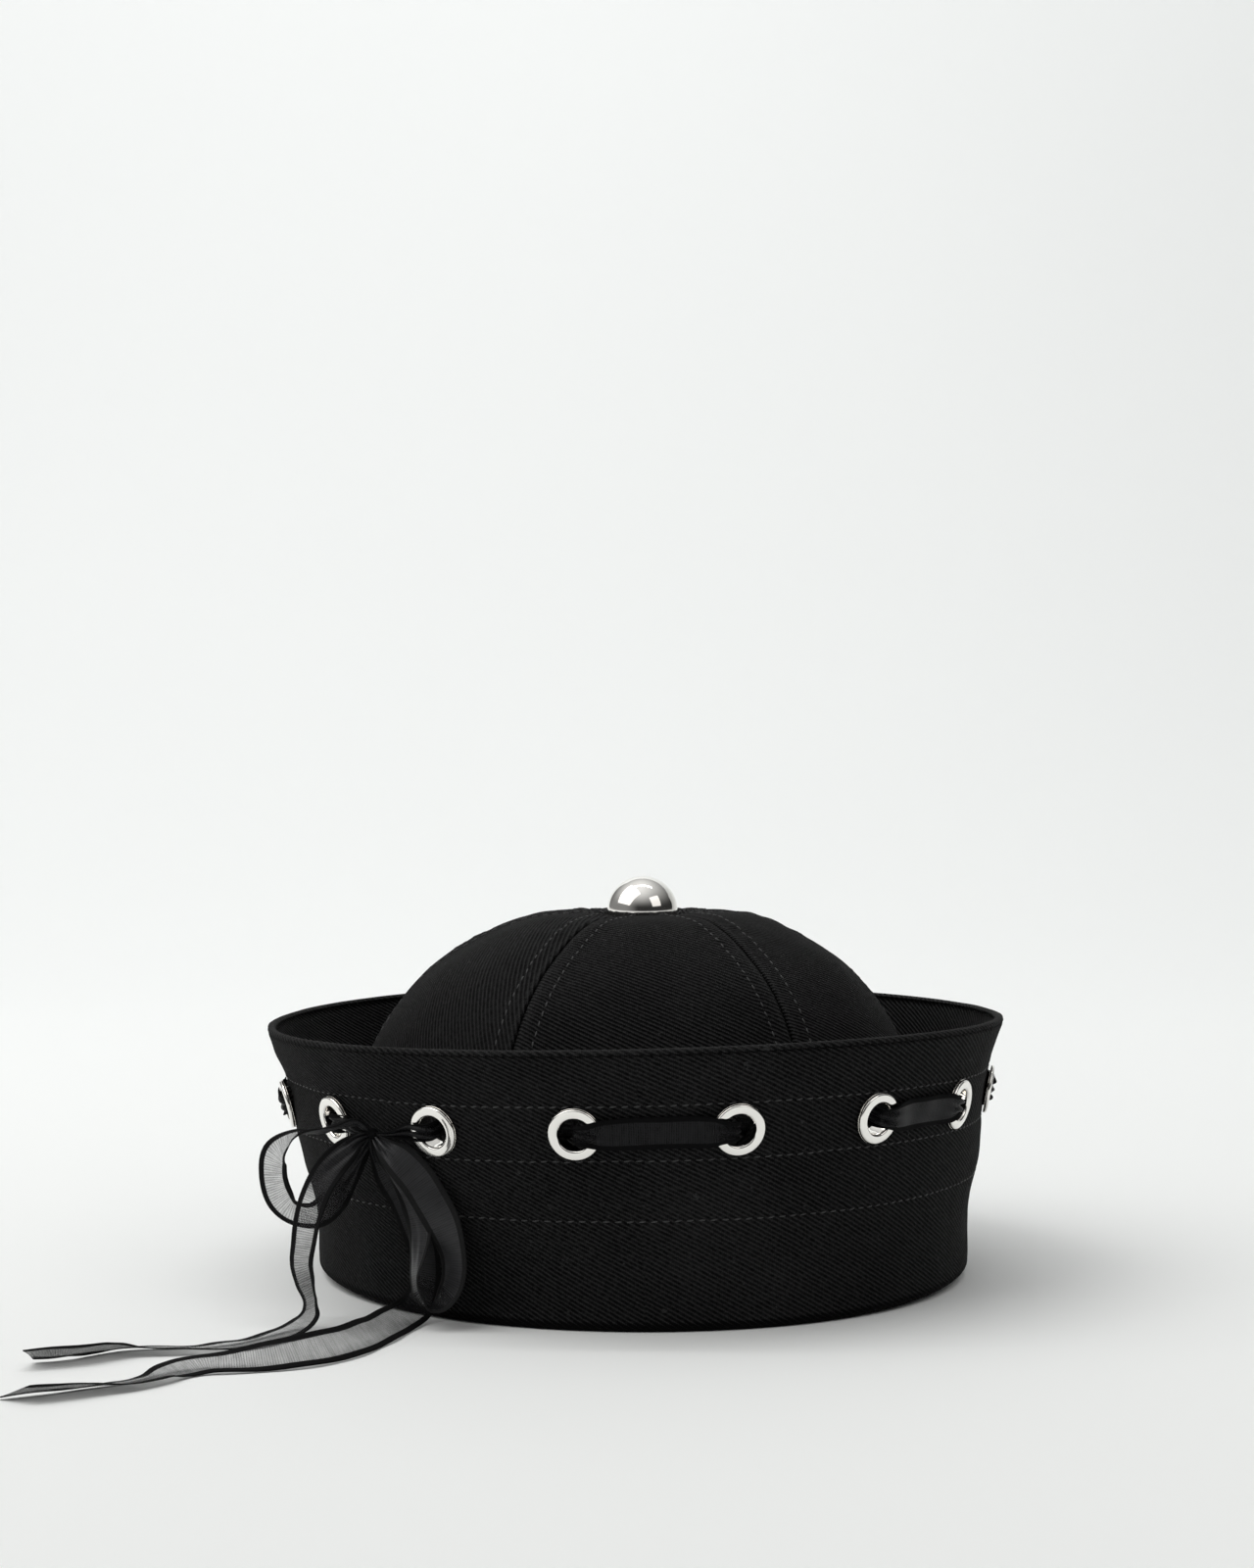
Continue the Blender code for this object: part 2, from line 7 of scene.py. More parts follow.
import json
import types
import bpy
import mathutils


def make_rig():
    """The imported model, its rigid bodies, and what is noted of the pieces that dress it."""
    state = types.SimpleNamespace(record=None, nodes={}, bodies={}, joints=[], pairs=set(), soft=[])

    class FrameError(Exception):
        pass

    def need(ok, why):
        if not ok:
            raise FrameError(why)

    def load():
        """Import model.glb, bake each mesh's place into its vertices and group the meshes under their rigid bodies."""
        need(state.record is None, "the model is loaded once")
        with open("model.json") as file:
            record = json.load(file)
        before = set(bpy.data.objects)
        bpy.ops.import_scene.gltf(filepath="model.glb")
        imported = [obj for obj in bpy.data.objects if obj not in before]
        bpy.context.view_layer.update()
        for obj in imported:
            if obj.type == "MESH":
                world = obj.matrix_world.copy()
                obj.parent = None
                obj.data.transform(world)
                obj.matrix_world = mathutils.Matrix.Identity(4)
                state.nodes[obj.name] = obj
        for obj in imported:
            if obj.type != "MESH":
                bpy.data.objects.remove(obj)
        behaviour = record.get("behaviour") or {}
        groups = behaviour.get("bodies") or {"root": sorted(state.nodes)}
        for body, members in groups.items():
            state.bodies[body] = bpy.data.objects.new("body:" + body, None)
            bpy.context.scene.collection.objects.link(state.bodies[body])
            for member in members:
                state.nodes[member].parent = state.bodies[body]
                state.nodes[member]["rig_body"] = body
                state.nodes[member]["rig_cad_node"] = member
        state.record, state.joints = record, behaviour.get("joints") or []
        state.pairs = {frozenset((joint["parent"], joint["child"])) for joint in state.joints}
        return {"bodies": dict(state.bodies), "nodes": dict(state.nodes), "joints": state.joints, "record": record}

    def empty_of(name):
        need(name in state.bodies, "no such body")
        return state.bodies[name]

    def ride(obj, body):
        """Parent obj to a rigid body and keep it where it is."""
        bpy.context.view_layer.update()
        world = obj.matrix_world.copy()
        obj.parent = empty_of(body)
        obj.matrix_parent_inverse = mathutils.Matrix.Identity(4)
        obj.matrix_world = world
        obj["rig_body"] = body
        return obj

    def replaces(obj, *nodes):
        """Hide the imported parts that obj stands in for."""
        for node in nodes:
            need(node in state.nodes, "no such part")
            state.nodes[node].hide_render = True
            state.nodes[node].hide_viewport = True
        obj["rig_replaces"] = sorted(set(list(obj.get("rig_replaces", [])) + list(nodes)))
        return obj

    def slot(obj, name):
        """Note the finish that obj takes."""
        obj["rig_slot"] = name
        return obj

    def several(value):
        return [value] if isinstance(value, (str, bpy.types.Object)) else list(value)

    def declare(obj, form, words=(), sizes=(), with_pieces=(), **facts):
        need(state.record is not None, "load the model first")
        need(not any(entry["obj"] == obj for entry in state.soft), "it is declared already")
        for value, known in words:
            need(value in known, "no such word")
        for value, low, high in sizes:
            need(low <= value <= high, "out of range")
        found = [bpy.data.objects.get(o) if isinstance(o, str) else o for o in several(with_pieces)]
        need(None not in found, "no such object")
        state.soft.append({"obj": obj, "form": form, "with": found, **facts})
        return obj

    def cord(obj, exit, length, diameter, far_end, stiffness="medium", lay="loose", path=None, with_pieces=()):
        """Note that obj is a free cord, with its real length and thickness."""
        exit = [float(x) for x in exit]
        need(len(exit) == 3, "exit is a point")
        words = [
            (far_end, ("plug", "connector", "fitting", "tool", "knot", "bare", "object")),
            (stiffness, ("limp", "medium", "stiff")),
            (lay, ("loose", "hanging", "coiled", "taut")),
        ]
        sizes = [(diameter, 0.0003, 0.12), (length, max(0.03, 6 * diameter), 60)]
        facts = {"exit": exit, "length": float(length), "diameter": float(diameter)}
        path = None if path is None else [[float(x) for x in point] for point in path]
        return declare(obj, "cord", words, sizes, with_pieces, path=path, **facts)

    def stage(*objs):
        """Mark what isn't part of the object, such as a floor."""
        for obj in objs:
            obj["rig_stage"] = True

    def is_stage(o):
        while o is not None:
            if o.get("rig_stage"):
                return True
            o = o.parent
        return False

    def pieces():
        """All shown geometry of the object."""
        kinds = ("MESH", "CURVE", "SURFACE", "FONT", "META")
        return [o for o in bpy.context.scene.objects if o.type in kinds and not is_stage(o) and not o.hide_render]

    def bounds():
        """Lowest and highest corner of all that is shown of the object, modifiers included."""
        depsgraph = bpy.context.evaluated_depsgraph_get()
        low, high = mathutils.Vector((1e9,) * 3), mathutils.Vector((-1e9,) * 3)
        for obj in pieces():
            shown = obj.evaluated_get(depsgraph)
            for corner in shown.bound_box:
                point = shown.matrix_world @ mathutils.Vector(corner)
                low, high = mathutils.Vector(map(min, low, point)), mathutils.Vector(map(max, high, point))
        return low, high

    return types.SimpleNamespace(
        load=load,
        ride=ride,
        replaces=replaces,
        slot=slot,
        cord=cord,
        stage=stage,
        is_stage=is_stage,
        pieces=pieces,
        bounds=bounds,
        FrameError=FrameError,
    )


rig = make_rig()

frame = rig.load()

import json
from math import atan2, cos, hypot, pi, radians, sin, sqrt

import bmesh
import bpy
from mathutils import Matrix, Vector, noise
from mathutils.bvhtree import BVHTree

CAD_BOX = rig.bounds()
MM = 0.001

# Cloth sizes, the same as the solids'
FOOT_RADIUS = 0.0936  # half-width over the brim at the foot
DEPTH_RATIO = 1.05  # front-to-back size over side-to-side size
BRIM_HEIGHT = 0.0729
BRIM_FLARE = 0.0128  # how much wider the rim's radius is than the foot's
BRIM_WALL = 0.0026
FOOT_CORNER = 0.0016  # outer radius of the fold at the foot
CROWN_HEIGHT = 0.1035
CROWN_WALL = 0.0015
SEAM_GAP = 0.0003  # between sewn pieces
GORE_COUNT = 6
GORE_PUFF = 0.0012  # how far a gore swells between its seams
SEAM_TURN = radians(-26.5)  # the first crown seam
FOOT_SHIFT = 0.0024  # the foot's centre is this far towards +X from the rim's
CROWN_SHIFT = 0.0008  # the same for the crown at half of its height
RIM_TILT = 0.0013  # the rim is this much higher at +X and lower at -X
RIM_TWIST = 0.0006  # and this much higher between the front and +X
RIM_DIP = 0.0012  # and this much lower at both sides
FOOT_LIFT = 0.0022  # the foot's rise off the surface at both sides
CROWN_FOOT_RADIUS = FOOT_RADIUS - BRIM_WALL - SEAM_GAP
CROWN_FOOT_Z = BRIM_WALL + SEAM_GAP

# Metal sizes, the same as the solids'
EYELET_COUNT = 16
EYELET_TURN = radians(-8.2)  # the first eyelet
EYELET_DRIFT = {0: radians(-0.7), 2: radians(0.6), 3: radians(-0.4), 14: radians(0.9)}  # uneven
EYELET_HEIGHT = 0.0519
HOLE_RADIUS = 0.0042
BARREL_WALL = 0.0006
FLANGE_RADIUS = 0.00685
FLANGE_RISE = 0.0012  # from the flange's back to its rounded crest
BACK_RADIUS = 0.0064
BACK_RISE = 0.0008
STUD_RADIUS = 0.01025
STUD_CUT = 0.0019  # the ball is cut off flat this far under its middle
DIMPLE_DEPTH = 0.003
POST_RADIUS = 0.002
POST_FLANGE_RADIUS = 0.006
POST_FLANGE_RISE = 0.001
SEAT_Z = CROWN_HEIGHT - DIMPLE_DEPTH
SEAT_RADIUS = STUD_RADIUS + 2 * SEAM_GAP
BARREL_RADIUS = HOLE_RADIUS + BARREL_WALL
EYELET_SEAT = SEAM_GAP + BARREL_WALL / 4  # the flange's back over the brim
BACK_HOLLOW = BACK_RADIUS**2 / (2 * FOOT_RADIUS)  # how far the washer stands off the curved brim

# Ribbon sizes, the same as the solids'
RIBBON_WIDTH = 0.0095
RIBBON_CLEAR = 0.0006
KNOT_TURN = radians(-40.6)
KNOT_HEIGHT = 0.0515
KNOT_STANDOFF = 0.0046  # the knot's centre off the brim

# How the finished ribbon is drawn together
LACE_PINCH = 5.0 * MM  # the lace's width in a hole
LACE_SPREAD = 8.6 * MM  # its width over the brim
STRAND_WIDTH = 4.3 * MM  # its width towards the knot
STRAND_THIN = 1.2 * MM  # and inside the knot
KNOT_FORM = (2.0 * MM, 1.5 * MM, 2.0 * MM)  # half sizes along the row of eyelets, upwards, outwards
KNOT_TILT = radians(-12)
PLEATS = 2.5  # across a gathered ribbon
DEEPEST_PLEAT = 0.75 * MM
RIPPLE = 0.18 * MM  # of an open ribbon
RIPPLE_LENGTH = 2.9 * MM  # along it, for one radian

# Sewing
STITCH_PITCH = 3.07 * MM
STITCH_LENGTH = 2.05 * MM
THREAD_WIDTH = 0.5 * MM
BRIM_ROWS = (0.0586, 0.0443, 0.0285)  # heights of the brim's rows of stitches
FLAT_RADIUS = 0.103  # the brim's flat cloth is as long as a ring of this radius
WELT = 1.9 * MM  # the rolled edge along the rim
ALLOWANCE = 5.4 * MM  # from a crown seam to the stitches beside it
ALLOWANCE_RISE = 0.5 * MM  # the turned-under cloth lifts the panel this much

# Weaves
WALE_PITCH = 1.1 * MM  # between the twill's diagonal ribs
YARN_PITCH = 0.62 * MM  # between the floats along a rib
BRIM_WALE = radians(28)  # how steeply the ribs fall to the right
GORE_WALES = {number: radians(fall) for number, fall in enumerate((27, 30, 28, 28, 32, 53), 1)}
ORGANZA_WALL = 0.25 * MM
ORGANZA_RIB = 0.6 * MM  # between its crosswise ribs
ORGANZA_LINE = 0.45 * MM  # between its lengthwise threads
SELVEDGE = (1.40 * MM, 1.60 * MM)  # where the dense woven edge begins to end and has ended

# Unevenness of the soft cloth, as the size and depth of each kind of crease
BRIM_CREASES = ((17 * MM, 0.42 * MM), (5 * MM, 0.12 * MM))
CROWN_CREASES = ((22 * MM, 0.55 * MM), (6 * MM, 0.12 * MM))
PUCKERS = ((5 * MM, 0.5 * MM),)
BRIM_BULGE = (1.2 * MM, 31 * MM, 17 * MM)  # on the right: depth, height, reach up and down
BRIM_HOLLOW = (1.4 * MM, 58.5 * MM, 9 * MM)  # on the left, the same

# How finely the pieces are made
SIDE_STEPS = 12  # in a spline, from one of its given points to the next
EYELET_STEPS = 4
BOW_STEPS = 7
LACE_STEPS = 4
BRIM_COLUMNS = 420
BRIM_ROW_SPACING = 1.05 * MM
GORE_COLUMNS = 60
GORE_ROW_SPACING = 1.25 * MM
RIBBON_COLUMNS = 18
EYELET_SIDES = 48
PUNCH_SIDES = 32
BALL_SIDES = 72
BALL_STEPS = 40  # from its top to its flat cut
MERGE = 1e-7  # points closer than this are one

# Colours, dark to light
COTTON = ((0.0008, 0.0008, 0.0009, 1), (0.033, 0.033, 0.0335, 1))
SEWING_THREAD = ((0.018, 0.018, 0.019, 1), (0.06, 0.06, 0.061, 1))
NICKEL = ((0.86, 0.84, 0.80, 1), (0.94, 0.925, 0.895, 1))
PAPER = ((0.905, 0.92, 0.915, 1), (0.925, 0.94, 0.935, 1))
WOVEN_EDGE = (0.003, 0.003, 0.0033, 1)

# The photograph's view, and the light
CAMERA_PLACE = (-0.0023, -0.780, 0.1397)
LENS = 61.49  # mm, for a picture 36 mm high
HAT_MIDDLE = (0.0, 0.0, 0.05)
LAMPS = {
    # place, where it points, size, watts, colour
    "key": ((-0.90, -0.32, 1.12), HAT_MIDDLE, (1.4, 1.4), 7.7, (1.0, 0.99, 0.97)),
    "fill": ((0.82, -0.70, 0.76), HAT_MIDDLE, (0.7, 0.7), 1.4, (1.0, 0.97, 0.95)),
    "wall_light": ((-0.4, 0.2, 2.2), (-0.3, 2.2, 1.4), (2.4, 0.6), 30.0, (1.0, 1.0, 1.0)),
}

BRIM_SIDE = [
    # share of the height, share of the flare
    (0.26, 0.05),
    (0.46, 0.25),
    (0.66, 0.48),
    (0.85, 0.72),
    (1.00, 1.00),
]
CROWN_SIDE = [
    # share of the crown's height, share of its foot radius
    (0.20, 0.990),
    (0.37, 0.945),
    (0.52, 0.885),
    (0.65, 0.825),
    (0.75, 0.755),
    (0.83, 0.670),
    (0.90, 0.555),
    (0.955, 0.430),
    (0.986, 0.305),
    (1.000, 0.185),
]

# Routes of the bow's ribbons: place x, y, z in mm, direction across x, y, z, and the share of the
# width that gathering leaves
ROUTES = {
    "bow_loop_left": [
        (-72.6, -83.2, 51.4, 0.2, -0.7, 0.6, 0.30),
        (-76.5, -83.2, 51.0, 0.1, -0.9, 0.3, 0.55),
        (-82.8, -81.0, 49.0, 0.1, -0.95, 0.3, 0.90),
        (-89.5, -78.0, 47.1, 0.4, -0.95, 0.0, 1.0),
        (-94.5, -76.0, 42.8, 0.75, -0.65, 0.1, 1.0),
        (-95.5, -75.0, 37.0, 0.85, -0.5, 0.1, 1.0),
        (-93.9, -75.5, 31.2, 0.8, -0.5, 0.4, 1.0),
        (-90.0, -76.5, 27.2, 0.3, -0.6, 0.6, 1.0),
        (-83.8, -78.0, 26.8, 0.0, -0.6, 0.8, 1.0),
        (-78.8, -79.5, 31.0, -0.2, -0.6, 0.8, 0.95),
        (-75.4, -80.2, 37.0, -0.5, -0.6, 0.6, 0.75),
        (-71.0, -81.2, 44.6, -0.7, -0.6, 0.3, 0.45),
    ],
    "bow_loop_right": [
        (-65.4, -86.0, 45.6, 0.6, 0.0, 0.8, 0.55),
        (-61.4, -88.0, 42.8, 0.7, 0.1, 0.7, 0.90),
        (-56.6, -89.6, 37.9, 0.8, 0.2, 0.5, 1.0),
        (-53.2, -90.8, 32.9, 0.9, 0.0, 0.4, 1.0),
        (-50.0, -91.8, 27.4, 0.9, -0.2, 0.3, 1.0),
        (-47.7, -92.4, 21.6, 0.8, -0.5, 0.1, 1.0),
        (-46.7, -92.8, 16.2, 0.7, -0.7, 0.0, 1.0),
        (-47.4, -93.0, 10.9, 0.6, -0.8, -0.1, 1.0),
        (-49.9, -93.0, 7.0, 0.5, -0.8, -0.1, 1.0),
        (-53.2, -92.8, 5.7, 0.4, -0.9, 0.0, 1.0),
        (-56.0, -92.4, 8.0, 0.3, -0.9, 0.1, 1.0),
        (-57.0, -91.4, 12.6, 0.3, -0.9, 0.1, 1.0),
        (-56.2, -89.8, 18.4, 0.5, -0.8, 0.1, 0.90),
        (-55.8, -88.6, 24.8, 0.7, -0.5, 0.2, 0.85),
        (-57.6, -87.6, 31.8, 0.9, -0.2, 0.3, 0.75),
        (-61.6, -86.4, 38.4, 0.8, -0.1, 0.5, 0.55),
        (-65.2, -85.0, 42.6, 0.6, -0.1, 0.6, 0.45),
    ],
    "tail_upper": [
        (-72.2, -85.2, 47.4, 0.5, -0.3, -0.8, 0.40),
        (-75.0, -87.0, 44.8, 0.6, -0.3, -0.7, 0.70),
        (-78.6, -87.9, 41.0, 0.7, -0.4, -0.6, 0.85),
        (-81.4, -88.4, 36.8, 0.75, -0.5, -0.4, 0.95),
        (-83.4, -89.0, 32.2, 0.8, -0.6, -0.2, 1.0),
        (-84.8, -89.6, 27.1, 0.75, -0.65, -0.1, 1.0),
        (-85.6, -90.4, 21.5, 0.75, -0.65, 0.0, 1.0),
        (-86.1, -91.2, 16.4, 0.7, -0.7, 0.0, 1.0),
        (-84.9, -92.4, 11.4, 0.6, -0.8, 0.0, 1.0),
        (-83.5, -93.6, 6.9, 0.45, -0.9, 0.0, 1.0),
        (-84.3, -95.8, 3.4, 0.5, -0.85, -0.1, 1.0),
        (-88.0, -101.6, 1.2, 0.7, -0.7, 0.0, 1.0),
        (-95.4, -112.6, 0.8, 0.4, -0.9, 0.0, 1.0),
        (-104.8, -119.6, 0.9, 0.2, -1.0, 0.05, 1.0),
        (-114.2, -121.4, 1.2, 0.0, -1.0, 0.15, 1.0),
        (-123.6, -123.0, 1.6, 0.0, -1.0, 0.23, 1.0),
        (-129.6, -127.4, 2.3, 0.0, -0.9, 0.34, 1.0),
        (-136.0, -133.4, 2.8, 0.1, -0.9, 0.42, 1.0),
        (-146.0, -137.8, 2.9, 0.2, -0.88, 0.43, 1.0),
    ],
    "tail_lower": [
        (-67.2, -82.6, 43.6, 0.9, -0.4, 0.1, 0.55),
        (-64.2, -82.8, 38.0, 0.9, -0.3, 0.2, 0.90),
        (-60.8, -83.0, 32.0, 0.9, -0.4, 0.3, 0.95),
        (-57.6, -82.8, 25.0, 0.9, -0.4, 0.2, 1.0),
        (-55.4, -82.2, 18.4, 0.9, -0.4, 0.1, 1.0),
        (-54.8, -81.6, 12.6, 0.85, -0.45, 0.0, 1.0),
        (-55.4, -81.2, 8.0, 0.8, -0.45, -0.15, 1.0),
        (-56.8, -82.8, 4.4, 0.75, -0.4, -0.45, 1.0),
        (-58.4, -87.6, 3.3, 0.7, -0.4, -0.55, 1.0),
        (-60.3, -94.4, 3.2, 0.66, -0.45, -0.53, 1.0),
        (-62.6, -103.0, 3.3, 0.6, -0.55, -0.54, 1.0),
        (-65.0, -111.6, 3.4, 0.55, -0.6, -0.56, 1.0),
        (-69.6, -124.4, 3.7, 0.45, -0.6, -0.65, 1.0),
        (-76.0, -133.4, 3.8, 0.4, -0.6, -0.65, 1.0),
        (-84.4, -138.8, 3.4, 0.25, -0.7, -0.6, 1.0),
        (-94.4, -141.4, 2.4, 0.0, -0.9, -0.4, 1.0),
        (-103.2, -143.2, 1.8, -0.2, -0.9, -0.25, 1.0),
        (-109.0, -147.6, 1.4, -0.35, -0.9, -0.1, 1.0),
        (-113.4, -154.4, 1.1, -0.4, -0.9, 0.0, 1.0),
        (-118.6, -160.4, 1.2, -0.35, -0.9, 0.1, 1.0),
        (-125.6, -165.0, 1.6, -0.1, -0.95, 0.23, 1.0),
        (-132.0, -169.4, 2.2, 0.2, -0.9, 0.36, 1.0),
        (-141.0, -174.6, 2.3, 0.3, -0.88, 0.38, 1.0),
    ],
}
FREE_ENDS = {"tail_upper": 4.0 * MM, "tail_lower": -5.0 * MM}  # slant of the cut end
AT_KNOT = 0.2  # an end drawn into the knot has this share of its width and of its way left


class Wire:
    """A socket in a material, with arithmetic."""

    def __init__(self, tree, socket):
        self.tree = tree
        self.socket = socket

    def node(self, kind, settings=(), output=0, **inputs):
        """A node of this type; inputs are named by their sockets, or i0, i1 and so on by place."""
        made = self.tree.nodes.new(kind)
        for name, value in dict(settings).items():
            setattr(made, name, value)
        for name, value in inputs.items():
            place = int(name[1:]) if name[1:].isdigit() else name.replace("_", " ")
            if isinstance(value, Wire):
                self.tree.links.new(value.socket, made.inputs[place])
            else:
                made.inputs[place].default_value = value
        return Wire(self.tree, made.outputs[output])

    def math(self, operation, *values, clamp=False):
        """A Math node's result."""
        inputs = {f"i{k}": value for k, value in enumerate(values)}
        return self.node("ShaderNodeMath", {"operation": operation, "use_clamp": clamp}, **inputs)

    def __add__(self, other):
        return self.math("ADD", self, other)

    def __radd__(self, other):
        return self.math("ADD", other, self)

    def __sub__(self, other):
        return self.math("SUBTRACT", self, other)

    def __rsub__(self, other):
        return self.math("SUBTRACT", other, self)

    def __mul__(self, other):
        return self.math("MULTIPLY", self, other)

    def __rmul__(self, other):
        return self.math("MULTIPLY", other, self)

    def wave(self, pitch):
        """0 to 1 and back, once in each pitch."""
        return 0.5 - 0.5 * self.math("COSINE", self * (2 * pi / pitch))

    def step(self, low, high):
        """0 below low and 1 above high, smooth between them."""
        settings = {"interpolation_type": "SMOOTHSTEP"}
        return self.node("ShaderNodeMapRange", settings, Value=self, From_Min=low, From_Max=high)

    def blend(self, first, second):
        """A colour between two, by this share."""
        return self.node("ShaderNodeMix", {"data_type": "RGBA"}, 2, i0=self, i6=first, i7=second)

    def parts(self):
        """The separate numbers of a vector."""
        split = self.node("ShaderNodeSeparateXYZ", Vector=self)
        return [Wire(self.tree, socket) for socket in split.socket.node.outputs]


def material(name, roughness, metallic=0.0, **settings):
    """A Principled material, with a start for its wires and its shader."""
    made = bpy.data.materials.new(name)
    made.use_nodes = True
    shader = made.node_tree.nodes["Principled BSDF"]
    shader.inputs["Roughness"].default_value = roughness
    shader.inputs["Metallic"].default_value = metallic
    for socket, value in settings.items():
        shader.inputs[socket.replace("_", " ")].default_value = value
    return made, Wire(made.node_tree, None), shader


def feed(shader, socket, wire):
    """Links a wire to a shader's socket."""
    wire.tree.links.new(wire.socket, shader.inputs[socket])


def speckle(start, scale, detail=3.0, at=None):
    """Noise from 0 to 1 over the object's own coordinates, or at a vector."""
    place = at or start.node("ShaderNodeTexCoord", output="Object")
    return start.node("ShaderNodeTexNoise", Vector=place, Scale=scale, Detail=detail)


def flat_cloth(start):
    """How far over and along the flat cloth a place on the piece lies."""
    over, along, _ = start.node("ShaderNodeUVMap", {"uv_map": "weave"}).parts()
    return over, along


def marks(start):
    """The piece's own marks: on the twill wear, a painted highlight and painted shade; on the organza doubled cloth.
    """
    return start.node("ShaderNodeAttribute", {"attribute_name": "mark"}, "Fac")


def feed_bump(shader, height, strength, distance):
    """Roughens a surface by a height that is about 0 to 1."""
    bump = height.node("ShaderNodeBump", Height=height, Strength=strength, Distance=distance)
    feed(shader, "Normal", bump)


def make_twill():
    """Black cotton twill: diagonal ribs of slanting floats, faded by wear, with a painted highlight and painted shade.
    """
    made, start, shader = material("black_twill", 0.85, Specular_IOR_Level=0.07)
    over, along = flat_cloth(start)
    waver = speckle(start, 90.0, 2.0) - 0.5
    over = over + waver * (0.5 * MM)
    rib = over.wave(WALE_PITCH)
    yarn = (along + over * 0.6).wave(YARN_PITCH)
    fuzz = speckle(start, 1300.0, 3.0)
    patches = speckle(start, 28.0, 4.0)
    lint = speckle(start, 420.0, 2.0).step(0.70, 0.78)
    light = rib * rib * (0.40 + 0.60 * yarn) + (fuzz - 0.5) * 1.2 + (patches - 0.5) * 0.5 + 0.10
    # the marks lighten it for wear and a painted highlight on the rim, and darken it for painted shade in folds and
    # seams
    light = light + marks(start) * (0.2 + 1.3 * fuzz) + lint * 0.9
    light = light.math("ADD", light, 0.0, clamp=True)
    feed(shader, "Base Color", light.blend(*COTTON))
    height = rib * (0.65 + 0.35 * yarn) + fuzz * 0.5
    feed_bump(shader, height, strength=1.0, distance=0.5 * MM)
    return made


def make_thread():
    """Black sewing thread, a little lighter than the cloth and twisted."""
    made, start, shader = material("black_thread", 0.6, Specular_IOR_Level=0.3, Sheen_Weight=0.1)
    patches = speckle(start, 60.0, 2.0)
    feed(shader, "Base Color", patches.blend(*SEWING_THREAD))
    ply = speckle(start, 4000.0, 1.0)
    feed_bump(shader, ply, strength=0.5, distance=0.08 * MM)
    return made


def make_nickel():
    """Polished nickel plate with fine rubbing marks."""
    made, start, shader = material("polished_nickel", 0.1, metallic=1.0)
    cloudy = speckle(start, 140.0, 3.0)
    feed(shader, "Base Color", cloudy.blend(*NICKEL))
    rubbed = speckle(start, 900.0, 4.0)
    feed(shader, "Roughness", 0.04 + 0.07 * rubbed)
    feed_bump(shader, rubbed, strength=0.04, distance=0.04 * MM)
    return made


def make_organza(name, gloss, tone):
    """Sheer black organza with crosswise ribs and dense woven edges."""
    made, start, shader = material(name, 0.38, Specular_IOR_Level=gloss)
    over, along = flat_cloth(start)
    from_edge = RIBBON_WIDTH / 2 - over.math("ABSOLUTE", over)
    edge = 1 - from_edge.step(*SELVEDGE)
    waver = speckle(start, 200.0) - 0.5
    rib = (along + waver * (0.4 * MM)).wave(ORGANZA_RIB)
    line = over.wave(ORGANZA_LINE)
    threads = start.node("ShaderNodeCombineXYZ", X=over * 150.0, Y=along * 1400.0)
    streaks = speckle(start, 1.0, 2.0, threads).step(0.25, 0.75)
    weave = rib * 0.35 + line * 0.2 + streaks * 0.25 + speckle(start, 220.0, 3.0) * 0.4
    cover = (0.08 + 0.42 * weave) + marks(start) * 0.7 + edge
    feed(shader, "Alpha", cover.math("MINIMUM", cover, 1.0))
    # the copy's tone is lower for a painted shade and higher for a painted sheen
    shade = (0.2 * tone, 0.2 * tone, 0.22 * tone, 1)
    sheer = weave.blend(shade, (tone, tone, 1.08 * tone, 1))
    feed(shader, "Base Color", edge.blend(sheer, WOVEN_EDGE))
    feed(shader, "Roughness", 0.38 + 0.5 * edge)
    feed_bump(shader, rib, strength=0.35, distance=0.04 * MM)
    return made


def make_white_paper():
    """Matt white paper."""
    made, start, shader = material("white_paper", 0.9, Specular_IOR_Level=0.1)
    feed(shader, "Base Color", speckle(start, 1.5, 2.0).blend(*PAPER))
    return made


def smooth_step(share):
    """0 to 1, smooth at both ends."""
    share = min(1.0, max(0.0, share))
    return share * share * (3 - 2 * share)


def dip(distance, width):
    """1 at no distance, falling smoothly to 0 at this width."""
    return 1 - smooth_step(abs(distance) / width)


def oval_turn(turn):
    """Spaces equal turns evenly along the oval's edge."""
    return turn + (DEPTH_RATIO - 1) / 4 * sin(2 * turn)


def oval_point(radius, turn, z, shift):
    """A point of an oval as wide as this radius says, shifted towards +X."""
    t = oval_turn(turn)
    return Vector((shift + radius * sin(t), -radius * DEPTH_RATIO * cos(t), z))


def foot_rise(turn, z):
    """How far the soft hat lifts off the surface at its sides, fading towards the rim."""
    return FOOT_LIFT * sin(turn) ** 4 * max(0.0, 1 - z / BRIM_HEIGHT)


def brim_point(radius, turn, z):
    """A point of the brim, settled as the soft hat stands."""
    up = z / BRIM_HEIGHT
    rim = RIM_TILT * sin(turn) + RIM_TWIST * sin(2 * turn) - RIM_DIP * sin(turn) ** 2
    rise = foot_rise(turn, z) + rim * smooth_step(1.3 * up)
    return oval_point(radius, turn, z + rise, FOOT_SHIFT * (1 - smooth_step(up)))


def crown_point(radius, turn, z):
    """A point of the crown, settled on the same foot."""
    # 1 at the foot, 0 at half of the height, -1 at the top
    away = 1 - 2 * (z - CROWN_FOOT_Z) / (CROWN_HEIGHT - CROWN_FOOT_Z)
    shift = CROWN_SHIFT + (FOOT_SHIFT - CROWN_SHIFT) * away * away
    return oval_point(radius, turn, z + foot_rise(turn, z), shift)


